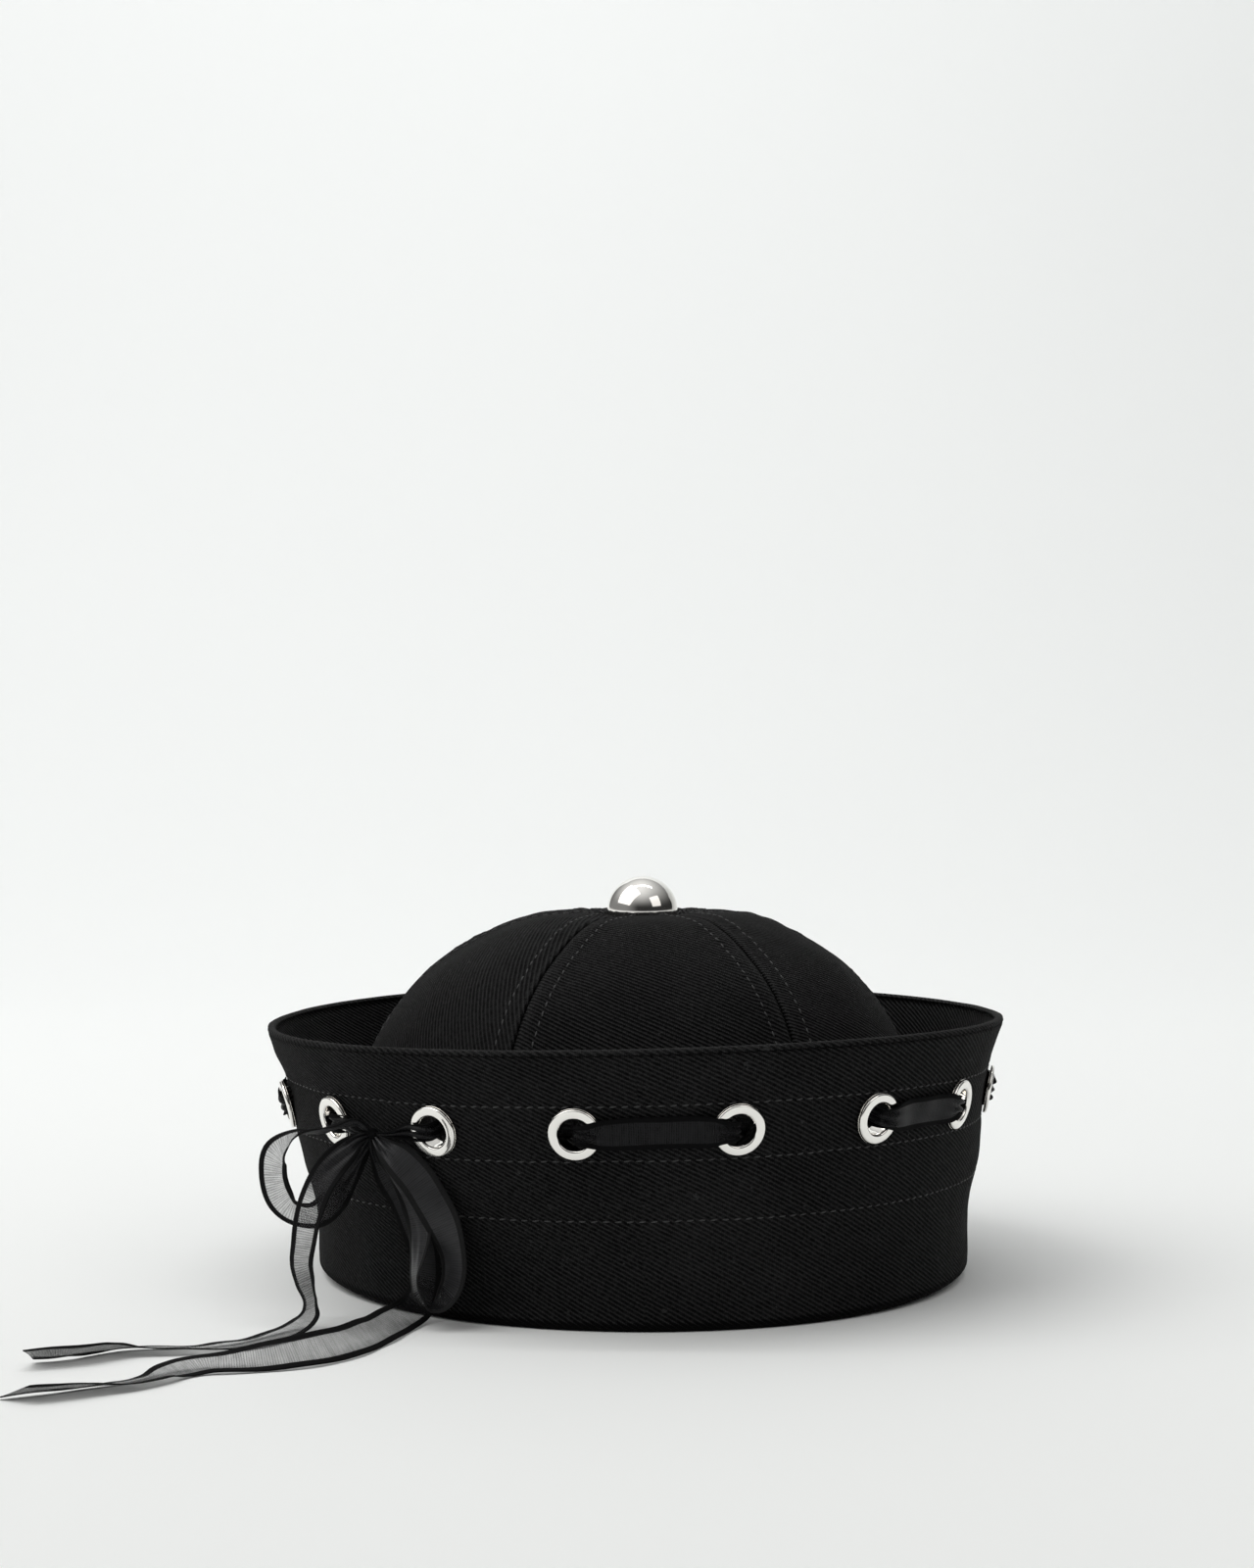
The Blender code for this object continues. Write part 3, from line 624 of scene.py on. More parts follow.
def spline(rows, fineness):
    """Rows of numbers with smooth rows between them, this many steps from one to the next."""
    last = len(rows) - 1
    made = []
    for i in range(last):
        p0, p1, p2, p3 = (rows[min(max(i + k, 0), last)] for k in (-1, 0, 1, 2))
        for step in range(fineness):
            t = step / fineness
            row = []
            for a, b, c, d in zip(p0, p1, p2, p3):
                curve = (2 * a - 5 * b + 4 * c - d) * t * t + (3 * b - a - 3 * c + d) * t**3
                row.append((2 * b + (c - a) * t + curve) / 2)
            made.append(row)
    return made + [list(rows[last])]


def arc_lengths(points):
    """The distance along a line to each of its points."""
    made = [0.0]
    for a, b in zip(points, points[1:]):
        made.append(made[-1] + (Vector(b) - Vector(a)).length)
    return made


def evenly(points, spacing):
    """Points about this far apart along a line, its ends included."""
    lengths = arc_lengths(points)
    count = max(1, round(lengths[-1] / spacing))
    made = []
    i = 0
    for k in range(count + 1):
        target = lengths[-1] * k / count
        while i < len(points) - 2 and lengths[i + 1] < target:
            i += 1
        share = (target - lengths[i]) / max(1e-9, lengths[i + 1] - lengths[i])
        made.append(Vector(points[i]).lerp(Vector(points[i + 1]), share))
    return made


def brim_side():
    """The brim's outside above the foot's fold, as radius and height."""
    line = [(FOOT_RADIUS, FOOT_CORNER)]
    for height, flare in BRIM_SIDE:
        line.append((FOOT_RADIUS + BRIM_FLARE * flare, BRIM_HEIGHT * height))
    return line


def spaced_side(line, spacing):
    """A smooth side through these radii and heights, with points about this far apart."""
    return evenly([Vector((r, z, 0)) for r, z in spline(line, SIDE_STEPS)], spacing)


def brim_radius(z):
    """The radius of the solid brim's side at this height."""
    line = brim_side()
    for (r0, z0), (r1, z1) in zip(line, line[1:]):
        if z <= z1:
            break
    return r0 + (r1 - r0) * (z - z0) / (z1 - z0)


def surface_frame(turn, z, depth=0.0):
    """A place on the brim's outside, this deep in the cloth, with its axes along, up and out."""
    small = 1e-4  # a step small enough to feel the slope
    here = brim_point(brim_radius(z), turn, z)
    along = brim_point(brim_radius(z), turn + small, z) - here
    up = brim_point(brim_radius(z + small), turn, z + small) - here
    out = along.cross(up).normalized()
    up = out.cross(along).normalized()
    along = up.cross(out)
    place = Matrix((along, up, out)).transposed().to_4x4()
    place.translation = here - out * depth
    return place


def eyelet_turn(index):
    """How far round this eyelet is; the number may also fall between two eyelets."""
    return EYELET_TURN + 2 * pi * index / EYELET_COUNT + EYELET_DRIFT.get(index, 0.0)


def finished(name, bm, looks, slot, *nodes):
    """A piece of the hat from a bmesh, standing for these solids."""
    mesh = mesh_of(name, bm)
    mesh.materials.append(looks)
    mesh.shade_smooth()
    piece = add_to_scene(name, mesh)
    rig.ride(piece, "root")
    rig.slot(piece, slot)
    if nodes:
        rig.replaces(piece, *nodes)
    return piece


def apply_modifiers(piece):
    """Makes the piece's modifiers part of its mesh."""
    graph = bpy.context.evaluated_depsgraph_get()
    mesh = bpy.data.meshes.new_from_object(piece.evaluated_get(graph))
    piece.modifiers.clear()
    piece.data = mesh


def cloth_grid(columns, rows, place, weave, marked):
    """A woven surface: a grid whose corners go to their places, with flat coordinates and marks."""
    bm = bmesh.new()
    flat = bm.loops.layers.uv.new("weave")
    mark = bm.verts.layers.float.new("mark")
    bmesh.ops.create_grid(bm, x_segments=columns, y_segments=rows, size=1)
    spots = {}
    for vert in bm.verts:
        spots[vert] = (round((vert.co.x + 1) / 2 * columns), round((vert.co.y + 1) / 2 * rows))
    for face in bm.faces:
        for loop in face.loops:
            loop[flat].uv = weave(*spots[loop.vert])
    for vert, spot in spots.items():
        vert.co = place(*spot)
        vert[mark] = marked(*spot)
    return bm


def on_the_bias(x, y, fall):
    """Flat cloth coordinates across and along the twill's ribs."""
    return x * sin(fall) + y * cos(fall), x * cos(fall) - y * sin(fall)


def crumple(point, creases):
    """Soft unevenness of cloth, from creases of several sizes."""
    return sum(noise.noise(point / size) * depth for size, depth in creases)


def add_to_scene(name, data):
    """An object of the scene from a mesh, a lens or a lamp."""
    made = bpy.data.objects.new(name, data)
    bpy.context.scene.collection.objects.link(made)
    return made


def mesh_of(name, bm):
    """A mesh from a bmesh that is no longer needed."""
    mesh = bpy.data.meshes.new(name)
    bm.to_mesh(mesh)
    bm.free()
    return mesh


def one_stitch():
    """The form of one stitch, lying along X with Z off the cloth."""
    bm = bmesh.new()
    form = Matrix.Diagonal((STITCH_LENGTH / 2, THREAD_WIDTH / 2, THREAD_WIDTH / 2, 1.0))
    bmesh.ops.create_uvsphere(bm, u_segments=6, v_segments=5, radius=1.0, matrix=form)
    return mesh_of("stitch", bm)


def sew(bm, line, cloth, closed=False):
    """A row of stitches along a line, laid on the cloth."""
    stops = evenly(line, STITCH_PITCH)
    if closed:
        stops = stops[:-1]
    for k, stop in enumerate(stops):
        ahead = stops[(k + 1) % len(stops)] if closed else stops[min(k + 1, len(stops) - 1)]
        behind = stops[k - 1] if closed else stops[max(k - 1, 0)]
        spot, normal, _, _ = cloth.find_nearest(stop)
        along = (ahead - behind).normalized()
        side = normal.cross(along).normalized()
        along = side.cross(normal)
        skew = 0.10 + 0.09 * sin(k * 2.4)  # each lies a little askew, no two the same
        along = (along + side * skew).normalized()
        side = normal.cross(along)
        place = Matrix((along, side, normal)).transposed().to_4x4()
        place.translation = spot - normal * THREAD_WIDTH * 0.08
        stitch = STITCH.copy()
        stitch.transform(place)
        bm.from_mesh(stitch)
        bpy.data.meshes.remove(stitch)


def brim_section():
    """The brim's closed section as radius and height: under the foot, up outside, down inside."""
    side = spaced_side(brim_side(), BRIM_ROW_SPACING)
    under, fold, roll = 4, 6, 8  # steps under the foot, round its fold and over the rim
    inside = CROWN_FOOT_RADIUS - CROWN_WALL
    section = []
    for step in range(under):
        section.append((inside + (FOOT_RADIUS - FOOT_CORNER - inside) * (step / under), 0.0))
    for step in range(fold):
        corner = pi / 2 * step / fold
        radius = FOOT_RADIUS - FOOT_CORNER * (1 - sin(corner))
        section.append((radius, FOOT_CORNER * (1 - cos(corner))))
    section += [(p.x, p.y) for p in side[:-1]]
    lean = (side[-1] - side[-3]).normalized()
    out = Vector((lean.y, -lean.x, 0))
    middle = side[-1] - out * BRIM_WALL / 2 - lean * BRIM_WALL / 2
    for step in range(roll + 1):
        corner = pi * step / roll
        point = middle + (out * cos(corner) + lean * sin(corner)) * BRIM_WALL / 2
        section.append((point.x, point.y))
    # the inside, which shows less, has half as many rows
    for k in range(len(side) - 2, 0, -2):
        ahead = (side[k + 1] - side[k - 1]).normalized()
        inner = side[k] + Vector((-ahead.y, ahead.x, 0)) * BRIM_WALL
        if inner.y > 2 * BRIM_WALL:
            section.append((inner.x, inner.y))
    section.append((FOOT_RADIUS - BRIM_WALL, 2 * BRIM_WALL))
    section.append((FOOT_RADIUS - BRIM_WALL, BRIM_WALL))
    section.append((inside, BRIM_WALL))
    section.append(section[0])
    return section


def punch_eyelet_holes(brim):
    """Sixteen round holes through both plies, one for each eyelet's barrel."""
    bm = bmesh.new()
    for index in range(EYELET_COUNT):
        bmesh.ops.create_cone(
            bm,
            cap_ends=True,
            segments=PUNCH_SIDES,
            radius1=BARREL_RADIUS,
            radius2=BARREL_RADIUS,
            depth=5 * BRIM_WALL,
            matrix=surface_frame(eyelet_turn(index), EYELET_HEIGHT, BRIM_WALL / 2),
        )
    punches = add_to_scene("punches", mesh_of("punches", bm))
    cut = brim.modifiers.new("eyelet_holes", "BOOLEAN")
    cut.operation = "DIFFERENCE"
    cut.solver = "EXACT"
    cut.object = punches
    apply_modifiers(brim)
    bpy.data.objects.remove(punches, do_unlink=True)


def make_brim(twill, thread):
    """The turned-up brim: two plies rolled together at the rim, with three rows of stitches."""
    section = brim_section()
    along = arc_lengths([(r, z, 0) for r, z in section])
    rim = max(range(len(section)), key=lambda k: section[k][1])

    def turn_at(column):
        return 2 * pi * column / BRIM_COLUMNS

    def relief(column, row):
        """How far the cloth stands off the even form, on its outside."""
        radius, z = section[row]
        if row > rim:
            return 0.0
        below = along[rim] - along[row]
        welt = 0.25 * MM * dip(below - WELT / 2, WELT / 2)
        groove = 0.28 * MM * dip(below - 1.35 * WELT, 0.35 * WELT)
        swell = welt - groove
        for height in BRIM_ROWS:
            swell -= 0.22 * MM * dip(z - height, 1.3 * MM)
        swell += crumple(oval_point(radius, turn_at(column), z, 0.0), BRIM_CREASES)
        return swell * smooth_step(z / (6 * MM))

    def lean(column, z):
        """The soft brim bulges low on its right side and falls in high on its left."""
        side = sin(turn_at(column))
        depth, height, reach = BRIM_BULGE
        bulge = depth * max(0.0, side) ** 3 * dip(z - height, reach)
        depth, height, reach = BRIM_HOLLOW
        return bulge - depth * max(0.0, -side) ** 3 * dip(z - height, reach)

    def place(column, row):
        radius, z = section[row]
        swell = relief(column % BRIM_COLUMNS, row) + lean(column, z)
        return brim_point(radius + swell, turn_at(column), z)

    def weave(column, row):
        return on_the_bias(turn_at(column) * FLAT_RADIUS, along[row], BRIM_WALE)

    def wear_and_painted_light(_, row):
        """Pale along the rim, partly from wear and partly a painted highlight where the roll catches light, and a
        painted shade in the fold of the foot.
        """
        below = abs(along[rim] - along[row])
        # the painted highlight on the rim's roll, and the painted shade in the foot's fold where it meets the floor
        return 0.55 * dip(below, 1.3 * WELT) - 0.8 * (section[row][1] < FOOT_CORNER)

    bm = cloth_grid(BRIM_COLUMNS, len(section) - 1, place, weave, wear_and_painted_light)
    bmesh.ops.remove_doubles(bm, verts=bm.verts, dist=MERGE)
    bmesh.ops.recalc_face_normals(bm, faces=bm.faces)
    cloth = BVHTree.FromBMesh(bm)
    brim = finished("brim_cloth", bm, twill, "cloth", "brim")
    punch_eyelet_holes(brim)
    stitches = bmesh.new()
    for height in BRIM_ROWS:
        line = [brim_point(brim_radius(height), 2 * pi * k / 360, height) for k in range(361)]
        sew(stitches, line, cloth, closed=True)
    finished("brim_stitches", stitches, thread, "cloth")


def crown_line():
    """The crown's outside from its foot to the ball's hole, as radius and height."""
    line = [(CROWN_FOOT_RADIUS, CROWN_FOOT_Z)]
    for height, share in CROWN_SIDE:
        line.append((CROWN_FOOT_RADIUS * share, CROWN_HEIGHT * height))
    ring_radius = line[-1][0]
    line.append(((ring_radius + SEAT_RADIUS) / 2, CROWN_HEIGHT - DIMPLE_DEPTH / 3))
    line.append((SEAT_RADIUS, SEAT_Z))
    line.append((POST_RADIUS + SEAM_GAP, SEAT_Z))
    return line


def make_gore(index, twill, stitches):
    """One crown panel, raised along its seams over the turned-under allowance."""
    side = spaced_side(crown_line(), GORE_ROW_SPACING)
    along = arc_lengths(side)
    half = pi / GORE_COUNT
    middle = SEAM_TURN + half * (2 * index - 1)

    def share(column):
        """-1 to 1 across the panel, finer near its seams."""
        even = 2 * column / GORE_COLUMNS - 1
        crowding = 0.35
        return sin(even * pi / 2) * crowding + even * (1 - crowding)

    def along_seam(radius):
        """A place along the panel for the puckers beside its stitches."""
        return radius * 1.5 + index * 10 * MM

    def row_of_stitches(radius):
        """How far from the seam the stitches run: closer together where the panel narrows."""
        return min(ALLOWANCE, 0.62 * half * radius)

    def spot(across, radius, z, off=0.0):
        """A point of the puffed panel, this far off it."""
        flat = z / CROWN_HEIGHT
        puff = GORE_PUFF * (1 - across * across) * smooth_step(3 * flat)
        swell = puff * smooth_step((radius - SEAT_RADIUS) / SEAT_RADIUS) + off
        seam = half - SEAM_GAP / 2 / radius
        return crown_point(radius + swell * (1 - flat), middle + across * seam, z + swell * flat)

    def relief(across, radius, z):
        """How far the cloth stands off the even panel."""
        edge = (1 - abs(across)) * half * radius
        row = row_of_stitches(radius)
        swell = ALLOWANCE_RISE * (1 - smooth_step((edge - row) / (1.2 * MM)))
        # the dents along the stitches and the seam
        swell -= 0.30 * MM * dip(edge - row, 1.0 * MM)
        swell -= 0.45 * MM * dip(edge, 0.9 * MM)
        swell += crumple(spot(across, radius, z), CROWN_CREASES)
        beside_seam = Vector((edge / 3, along_seam(radius), 0.0))
        swell += crumple(beside_seam, PUCKERS) * dip(edge - row, 6 * MM)
        # the flatter top under the ball
        swell -= 2.0 * MM * (1 - smooth_step((radius - 16 * MM) / (20 * MM)))
        return swell * smooth_step((radius - SEAT_RADIUS) / (4 * MM)) * smooth_step(z / (8 * MM))

    def place(column, row):
        across = share(column)
        radius, z, _ = side[row]
        return spot(across, radius, z, relief(across, radius, z))

    def weave(column, row):
        return on_the_bias(share(column) * half * side[row].x, along[row], GORE_WALES[index])

    def wear_and_painted_light(column, row):
        """Pale where the seam's folded edge rubs, and a painted shade down in the seam."""
        edge = (1 - abs(share(column))) * half * side[row].x
        return 0.30 * dip(edge - 1.2 * MM, 1.1 * MM) - 0.3 * dip(edge, 0.5 * MM)

    bm = cloth_grid(GORE_COLUMNS, len(side) - 1, place, weave, wear_and_painted_light)
    bm.normal_update()
    cloth = BVHTree.FromBMesh(bm)
    for way in (-1, 1):
        line = []
        for radius, z, _ in side:
            # from well down inside the brim up to the ball
            if z > 30 * MM and radius > SEAT_RADIUS + 1.0 * MM:
                across = way * (1 - row_of_stitches(radius) / (half * radius))
                line.append(spot(across, radius, z))
        sew(stitches, line, cloth)
    gore = finished(f"gore_{index}", bm, twill, "cloth", f"crown_panel_{index}")
    wall = gore.modifiers.new("wall", "SOLIDIFY")
    wall.thickness = CROWN_WALL
    wall.offset = -1.0
    apply_modifiers(gore)


def turned(profile, sides):
    """A turned shape from a line of radii and heights, closed on itself or at the axis."""
    bm = bmesh.new()
    verts = [bm.verts.new((r, 0.0, z)) for r, z in profile]
    edges = [bm.edges.new(pair) for pair in zip(verts, verts[1:])]
    bmesh.ops.spin(
        bm, geom=edges, cent=(0, 0, 0), axis=(0, 0, 1), angle=2 * pi, steps=sides, use_merge=True
    )
    bmesh.ops.remove_doubles(bm, verts=bm.verts, dist=MERGE)
    bmesh.ops.recalc_face_normals(bm, faces=bm.faces)
    return bm


def make_eyelet(index, nickel):
    """A two-part eyelet: broad flat flange with a rolled throat, and a washer clenched behind."""
    seat = EYELET_SEAT
    back = -BRIM_WALL - SEAM_GAP - BACK_HOLLOW
    profile = spline(
        [
            # radius, height off the brim: over the flange, down the barrel, round the washer
            (FLANGE_RADIUS - 0.10 * MM, seat),
            (FLANGE_RADIUS, seat + 0.25 * FLANGE_RISE),
            (FLANGE_RADIUS - 0.02 * MM, seat + 0.60 * FLANGE_RISE),
            (FLANGE_RADIUS - 0.28 * MM, seat + 0.86 * FLANGE_RISE),
            (FLANGE_RADIUS - 0.60 * MM, seat + 0.93 * FLANGE_RISE),
            (FLANGE_RADIUS - 1.20 * MM, seat + 0.98 * FLANGE_RISE),
            (HOLE_RADIUS + 0.90 * MM, seat + FLANGE_RISE),
            (HOLE_RADIUS + 0.45 * MM, seat + 0.94 * FLANGE_RISE),
            (HOLE_RADIUS + 0.12 * MM, seat + 0.68 * FLANGE_RISE),
            (HOLE_RADIUS, seat + 0.20 * FLANGE_RISE),
            (HOLE_RADIUS, -0.5 * BRIM_WALL),
            (HOLE_RADIUS, back - 0.2 * BACK_RISE),
            (HOLE_RADIUS + 0.4 * MM, back - BACK_RISE),
            (BACK_RADIUS - 0.5 * MM, back - 0.75 * BACK_RISE),
            (BACK_RADIUS, back),
        ],
        EYELET_STEPS,
    )
    profile += [(BARREL_RADIUS, back), (BARREL_RADIUS, seat), (FLANGE_RADIUS, seat)]
    bm = turned(profile, EYELET_SIDES)
    bm.transform(surface_frame(eyelet_turn(index), EYELET_HEIGHT))
    finished(f"eyelet_ring_{index + 1:02d}", bm, nickel, "metal", f"eyelet_{index + 1:02d}")


def make_ball(nickel):
    """The polished ball, with its post through the crown and the flange behind it."""
    base = SEAT_Z + SEAM_GAP
    centre = base + STUD_CUT
    low = -atan2(STUD_CUT, sqrt(STUD_RADIUS**2 - STUD_CUT**2))
    profile = [(0.0, centre + STUD_RADIUS)]
    for step in range(1, BALL_STEPS + 1):
        lift = pi / 2 + (low - pi / 2) * step / BALL_STEPS
        profile.append((STUD_RADIUS * cos(lift), centre + STUD_RADIUS * sin(lift)))
    back = SEAT_Z - CROWN_WALL - SEAM_GAP
    bottom = back - POST_FLANGE_RISE
    eased = 0.4 * MM  # the flange's rounded edge
    profile += [
        (POST_RADIUS, base),
        (POST_RADIUS, back),
        (POST_FLANGE_RADIUS - eased, back),
        (POST_FLANGE_RADIUS, back - eased),
        (POST_FLANGE_RADIUS, bottom + 0.3 * MM),
        (POST_FLANGE_RADIUS - eased, bottom),
        (0.0, bottom),
    ]
    bm = turned(profile, BALL_SIDES)
    bmesh.ops.translate(bm, verts=bm.verts, vec=(crown_point(0.0, 0.0, SEAT_Z).x, 0.0, 0.0))
    ball = finished("ball", bm, nickel, "metal", "ball_stud")
    ball.data.set_sharp_from_angle(angle=radians(50))


def gathered(share, x, phase):
    """The height of the pleats at x from -1 to 1 across a ribbon drawn together to this share."""
    drawn = sqrt(max(0.0, 1 / max(0.25, share) - 1))
    depth = min(DEEPEST_PLEAT, share * RIBBON_WIDTH / (pi * PLEATS) * drawn)
    depth = depth * min(1.0, 2.2 * (1 - share))
    return depth * sin(pi * PLEATS * (x + 0.35 * phase))


def make_ribbon(name, rows, organza, fineness, slant=0.0):
    """A length of organza along rows of point, direction across, width and how doubled it is."""
    rows = spline([(*point, *side, width, dense) for point, side, width, dense in rows], fineness)
    points = [Vector(row[:3]) for row in rows]
    along = arc_lengths(points)
    count = len(rows) - 1

    def directions(row):
        """Ahead along the ribbon, across it and off it."""
        ahead = points[min(row + 1, count)] - points[max(row - 1, 0)]
        ahead.normalize()
        side = Vector(rows[row][3:6])
        side = (side - ahead * side.dot(ahead)).normalized()
        return ahead, side, ahead.cross(side)

    def place(column, row):
        x = 2 * column / RIBBON_COLUMNS - 1
        ahead, side, lift = directions(row)
        width = min(RIBBON_WIDTH, rows[row][6])
        share = width / RIBBON_WIDTH
        fold = gathered(share, x, along[row] / (9 * MM))
        wave = RIPPLE * sin(along[row] / RIPPLE_LENGTH + 2 * x) * share
        point = points[row] + side * x * width / 2 + lift * (fold + wave)
        at_cut = smooth_step((row / count - 0.93) / 0.07)  # over the last of its length
        return point + ahead * slant * x / 2 * at_cut

    def weave(column, row):
        return (column / RIBBON_COLUMNS - 0.5) * RIBBON_WIDTH, along[row]

    def doubled(_, row):
        return rows[row][7]

    bm = cloth_grid(RIBBON_COLUMNS, count, place, weave, doubled)
    piece = finished(name, bm, organza, "ribbon")
    wall = piece.modifiers.new("cloth", "SOLIDIFY")
    wall.thickness = ORGANZA_WALL
    wall.offset = 0.0
    apply_modifiers(piece)
    return piece, points, along[-1]


def knot_frame():
    """The knot's place in front of the brim, its axes along, up and out."""
    return surface_frame(KNOT_TURN, KNOT_HEIGHT, -KNOT_STANDOFF)


def knot_centre():
    """The middle of the knot, where the ribbons start."""
    return knot_frame().translation


def make_knot(organza):
    """The tight knot: one turn of gathered ribbon pulled over the rest."""
    bm = bmesh.new()
    flat = bm.loops.layers.uv.new("weave")
    bmesh.ops.create_uvsphere(bm, u_segments=64, v_segments=32, radius=1.0)
    place = knot_frame() @ Matrix.Rotation(KNOT_TILT, 4, "Z")
    length, height, depth = KNOT_FORM
    for vert in bm.verts:
        along, up, out = vert.co
        around = atan2(out, up)
        creases = sin(around * 2 + 9 * along) * 0.09 + sin(around + 17 * along) * 0.05
        waist = 0.82 + 0.18 * dip(along, 0.7)
        form = Vector((length, height * waist, depth * waist)) * (1 + creases * (1 - along**2))
        vert.co = place @ Vector([c * f for c, f in zip(vert.co, form)])
    for face in bm.faces:
        for loop in face.loops:
            loop[flat].uv = (RIBBON_WIDTH / 2, loop.vert.co.z)
    bmesh.ops.recalc_face_normals(bm, faces=bm.faces)
    return finished("knot", bm, organza, "ribbon", "bow_knot")


def on_hat(point):
    """1 where a ribbon is gathered at the knot or against the brim, 0 where it is free."""
    away = hypot(point.x, point.y / DEPTH_RATIO) - brim_radius(point.z)
    near = 1 - smooth_step((away - 7 * MM) / (8 * MM))
    above_foot = smooth_step((point.z - 6 * MM) / (6 * MM))
    tied = 1 - smooth_step(((point - knot_centre()).length - 12 * MM) / (12 * MM))
    return max(near * above_foot, tied)


def doubling(point):
    """How closely a ribbon is doubled here: at the hat, in its low bends and at its cut ends."""
    creased = 0.35 * dip(point.z - 10 * MM, 8 * MM)
    at_end = 0.4 * smooth_step((-point.x - 106 * MM) / (16 * MM))
    return max(on_hat(point), creased, at_end)


def from_knot(row):
    """The row inside the knot that leads to this one."""
    point, across, _, _ = row
    return knot_centre().lerp(point, AT_KNOT), across, AT_KNOT * RIBBON_WIDTH, 1.0


def make_bow(organza, organza_with_painted_sheen, knot_organza):
    """The knot, its two loops and two tails; each is a free ribbon that opens quickly."""
    knot = make_knot(knot_organza)
    for name, route in ROUTES.items():
        rows = []
        for x, y, z, a, b, c, share in route:
            point = Vector((x, y, z)) * MM
            rows.append((point, Vector((a, b, c)), RIBBON_WIDTH * share, doubling(point)))
        rows.insert(0, from_knot(rows[0]))
        if name not in FREE_ENDS:
            rows.append(from_knot(rows[-1]))
        slant = FREE_ENDS.get(name, 0.0)
        # the right loop takes the organza with a painted sheen
        looks = organza_with_painted_sheen if name == "bow_loop_right" else organza
        piece, path, length = make_ribbon(f"{name}_ribbon", rows, looks, BOW_STEPS, slant)
        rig.replaces(piece, name)
        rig.cord(
            piece,
            exit=path[0],
            length=length,
            diameter=RIBBON_WIDTH,
            far_end="bare" if name in FREE_ENDS else "knot",
            stiffness="limp",
            lay="loose",
            path=path,
            with_pieces=[knot] if name == "tail_upper" else [],
        )


def lace_keys(index, forward, spread=LACE_SPREAD):
    """The lace at one eyelet, from inside the brim to outside it, opening to this width."""
    front = EYELET_SEAT + FLANGE_RISE + RIBBON_CLEAR
    back = -BRIM_WALL - SEAM_GAP - BACK_HOLLOW - BACK_RISE - RIBBON_CLEAR
    lying = back - 0.1 * BACK_RADIUS
    way = 1 if forward else -1
    over_metal = 0.62 if spread == LACE_SPREAD else 1.0
    half_open = (LACE_PINCH + RIBBON_WIDTH) / 2

    def opened(share):
        return LACE_PINCH + share * (spread - LACE_PINCH)

    keys = [
        # distance along towards the outside span, distance out, width, how closely it is doubled
        (-way * 1.35 * BACK_RADIUS, lying, RIBBON_WIDTH, 1.0),
        (-way * 0.55 * BACK_RADIUS, lying, half_open, 1.0),
        (-way * 0.10 * HOLE_RADIUS, back, LACE_PINCH, 1.0),
        (0.0, -BRIM_WALL / 2, LACE_PINCH, 1.0),
        (way * 0.15 * HOLE_RADIUS, front - RIBBON_CLEAR, LACE_PINCH, 0.9),
        (way * 0.62 * FLANGE_RADIUS, front, opened(0.35), over_metal),
        (way * 1.12 * FLANGE_RADIUS, front - RIBBON_CLEAR, opened(0.85), 1.0),
    ]
    place = surface_frame(eyelet_turn(index), EYELET_HEIGHT)
    rows = []
    for along, out, width, dense in keys:
        rows.append((place @ Vector((along, 0.0, out)), place.col[1].to_3d(), width, dense))
    return rows


def outside_span(index):
    """The lace's wrap over the brim between an eyelet and the next."""
    rows = []
    for share in (0.35, 0.5, 0.65):
        place = surface_frame(eyelet_turn(index + share), EYELET_HEIGHT, -1.4 * RIBBON_CLEAR)
        rows.append((place.translation, place.col[1].to_3d(), LACE_SPREAD, 1.0))
    return rows


def strand_end(index, share, width):
    """A place on a strand of the lace between the knot and its eyelet."""
    eyelet = surface_frame(eyelet_turn(index), EYELET_HEIGHT, -KNOT_STANDOFF).translation
    return knot_centre().lerp(eyelet, share), Vector((0.0, 0.0, 1.0)), width, 1.0


def make_lace(organza):
    """The ribbon from the knot in through one eyelet, out and in all round, and back again."""
    last = EYELET_COUNT - 1
    rows = [strand_end(last, 0.0, STRAND_THIN), strand_end(last, 0.32, 1.5 * MM)]
    rows += lace_keys(last, False, STRAND_WIDTH)[::-1]
    for index in range(0, last - 1, 2):
        rows += lace_keys(index, True)
        rows += outside_span(index)
        rows += lace_keys(index + 1, False)[::-1]
    rows += lace_keys(last - 1, True, STRAND_WIDTH)
    rows += [strand_end(last - 1, 0.32, 2.0 * MM), strand_end(last - 1, 0.0, STRAND_THIN)]
    piece, _, _ = make_ribbon("lacing", rows, organza, LACE_STEPS)
    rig.replaces(piece, "lace")


def make_camera():
    """Level, at about arm's length, a little above the brim."""
    lens = bpy.data.cameras.new("camera")
    lens.lens = LENS
    lens.sensor_width = 36.0
    camera = add_to_scene("camera", lens)
    camera.location = CAMERA_PLACE
    camera.rotation_euler = (pi / 2, 0.0, 0.0)
    bpy.context.scene.camera = camera


def make_light(name, place, target, size, power, colour):
    """A soft oblong lamp."""
    lamp = bpy.data.lights.new(name, "AREA")
    lamp.shape = "RECTANGLE"
    lamp.size, lamp.size_y = size
    lamp.energy = power
    lamp.color = colour
    made = add_to_scene(name, lamp)
    made.location = place
    made.rotation_euler = (Vector(target) - Vector(place)).to_track_quat("-Z", "Y").to_euler()


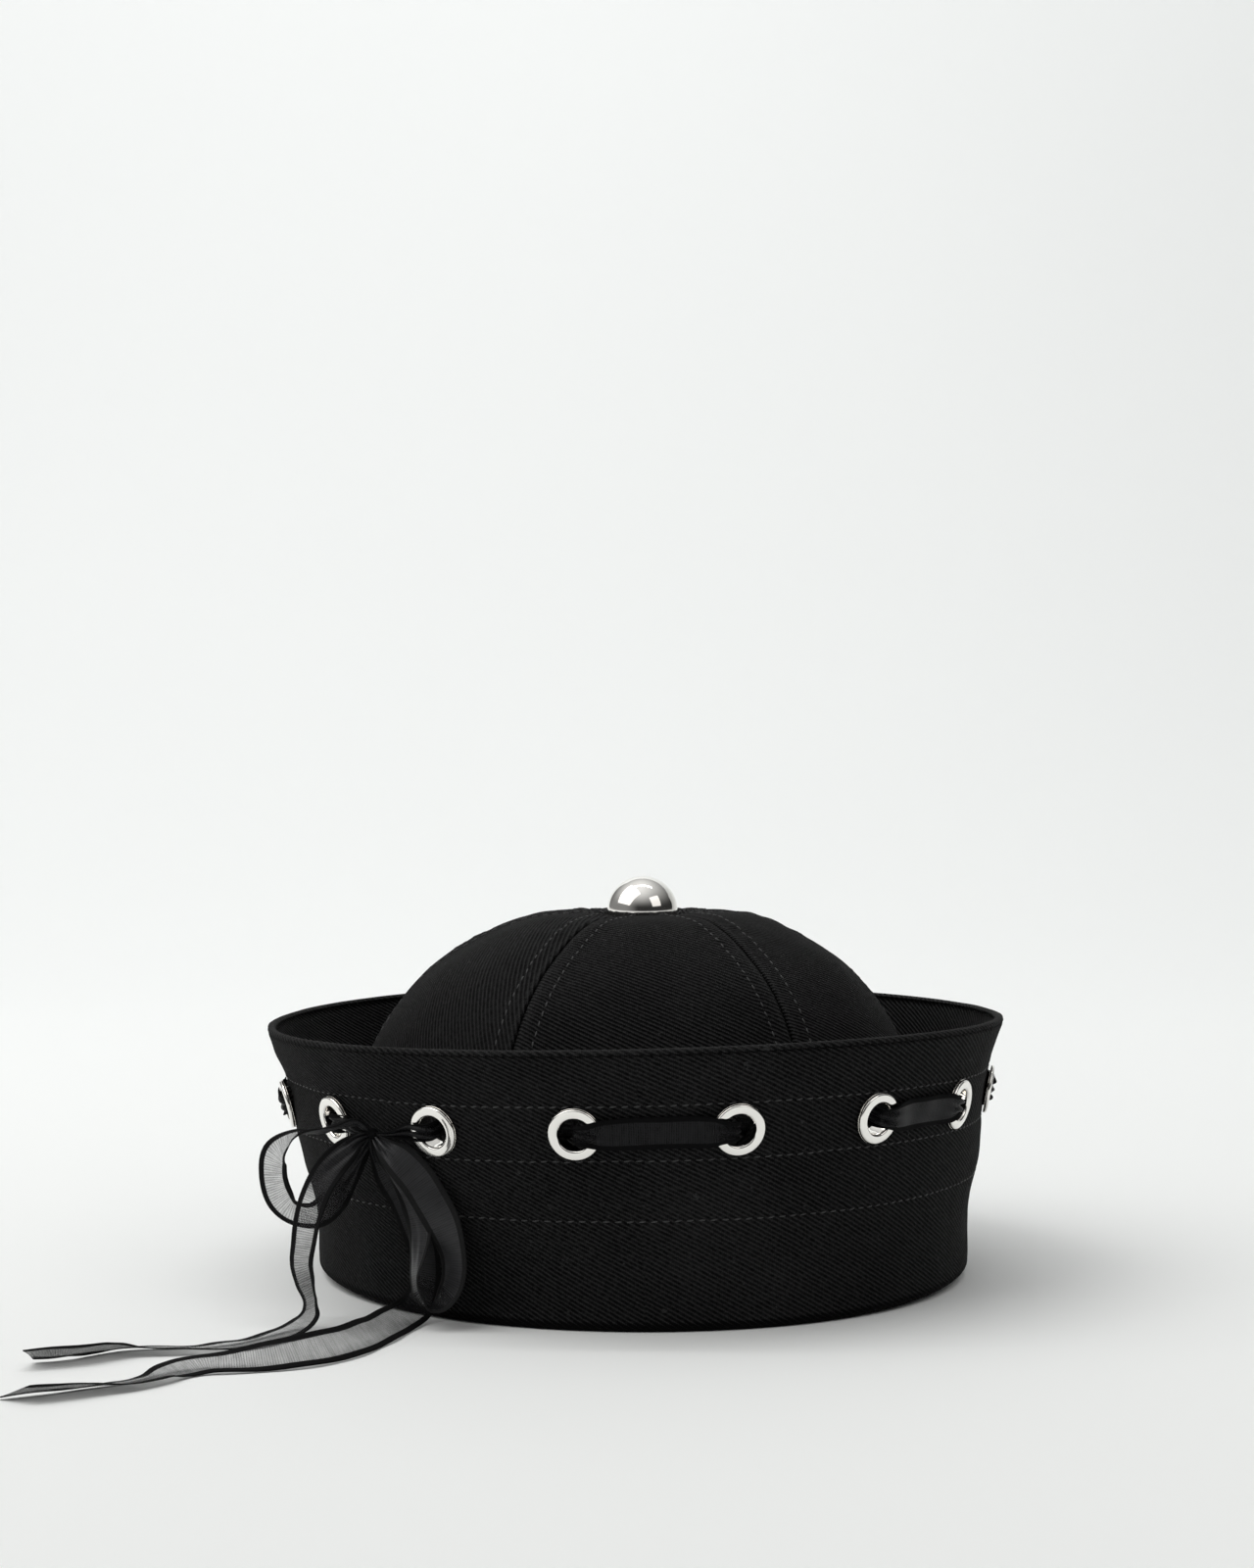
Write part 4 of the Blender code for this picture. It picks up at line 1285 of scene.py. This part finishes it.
def make_paper():
    """A white paper sweep: flat floor, a round bend and an upright wall."""
    strips, bend_from, bend_to = 40, 10, 38  # strips in all, and where the bend begins and ends
    front, back, bend = -2.0, 1.0, 1.2  # the floor's ends and the bend's radius
    middle, half_width, strip_rise = 1.4, 2.6, 0.5
    clear = 0.1 * MM  # under the hat's foot
    bm = bmesh.new()
    bmesh.ops.create_grid(bm, x_segments=1, y_segments=strips, size=1)
    for vert in bm.verts:
        strip = (vert.co.y + 1) / 2 * strips
        bent = max(0.0, min(strip, bend_to) - bend_from) / (bend_to - bend_from)
        lift = radians(bent * 90)
        y = front + (back - front) * min(1.0, strip / bend_from) + bend * sin(lift)
        z = bend * (1 - cos(lift)) + max(0.0, strip - bend_to) * strip_rise
        vert.co = (middle + vert.co.x * half_width, y, z - clear)
    paper = mesh_of("paper", bm)
    paper.materials.append(make_white_paper())
    paper.shade_smooth()
    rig.stage(add_to_scene("paper_sweep", paper))


def make_room():
    """A pale studio, brightest overhead and on the left, with lamps on the hat and the wall."""
    world = bpy.data.worlds.new("studio")
    world.use_nodes = True
    sky = world.node_tree.nodes["Background"]
    start = Wire(world.node_tree, None)
    right, _, up = start.node("ShaderNodeTexCoord", output="Generated").parts()
    above = up.step(0.2, 1.3) * (1 - 0.4 * right.step(-0.2, 0.8))  # weaker on the right
    left = 1 - right.step(-0.9, -0.2)
    below = 1 - up.step(0.0, 0.06)  # pale, for the metal to mirror
    light = 0.03 + 1.12 * above + 0.2 * left + 0.7 * below
    feed(sky, "Color", light.blend((0.0, 0.0, 0.0, 1), (1.0, 1.0, 0.99, 1)))
    sky.inputs["Strength"].default_value = 1.0
    bpy.context.scene.world = world
    bpy.context.scene.view_settings.view_transform = "Standard"
    for name, lamp in LAMPS.items():
        make_light(name, *lamp)


STITCH = one_stitch()
make_camera()

# One organza in three tones, for how light falls: the lace's darker tone is painted shade, the right loop's lighter
# tone a painted sheen
lace_organza_painted_shade = make_organza("lace_organza_painted_shade", gloss=0.08, tone=0.015)
bow_organza = make_organza("bow_organza", gloss=0.15, tone=0.022)
loop_organza_painted_sheen = make_organza("loop_organza_painted_sheen", gloss=0.32, tone=0.03)
make_bow(bow_organza, loop_organza_painted_sheen, lace_organza_painted_shade)
make_lace(lace_organza_painted_shade)

twill = make_twill()
thread = make_thread()
make_brim(twill, thread)
crown_thread = bmesh.new()
for number in range(1, GORE_COUNT + 1):
    make_gore(number, twill, crown_thread)
finished("crown_stitches", crown_thread, thread, "cloth")

nickel = make_nickel()
for number in range(EYELET_COUNT):
    make_eyelet(number, nickel)
make_ball(nickel)

make_paper()
make_room()

with open("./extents.json", "w") as sizes:
    boxes = {"cad": CAD_BOX, "visual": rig.bounds()}
    json.dump({name: [list(corner) for corner in box] for name, box in boxes.items()}, sizes)
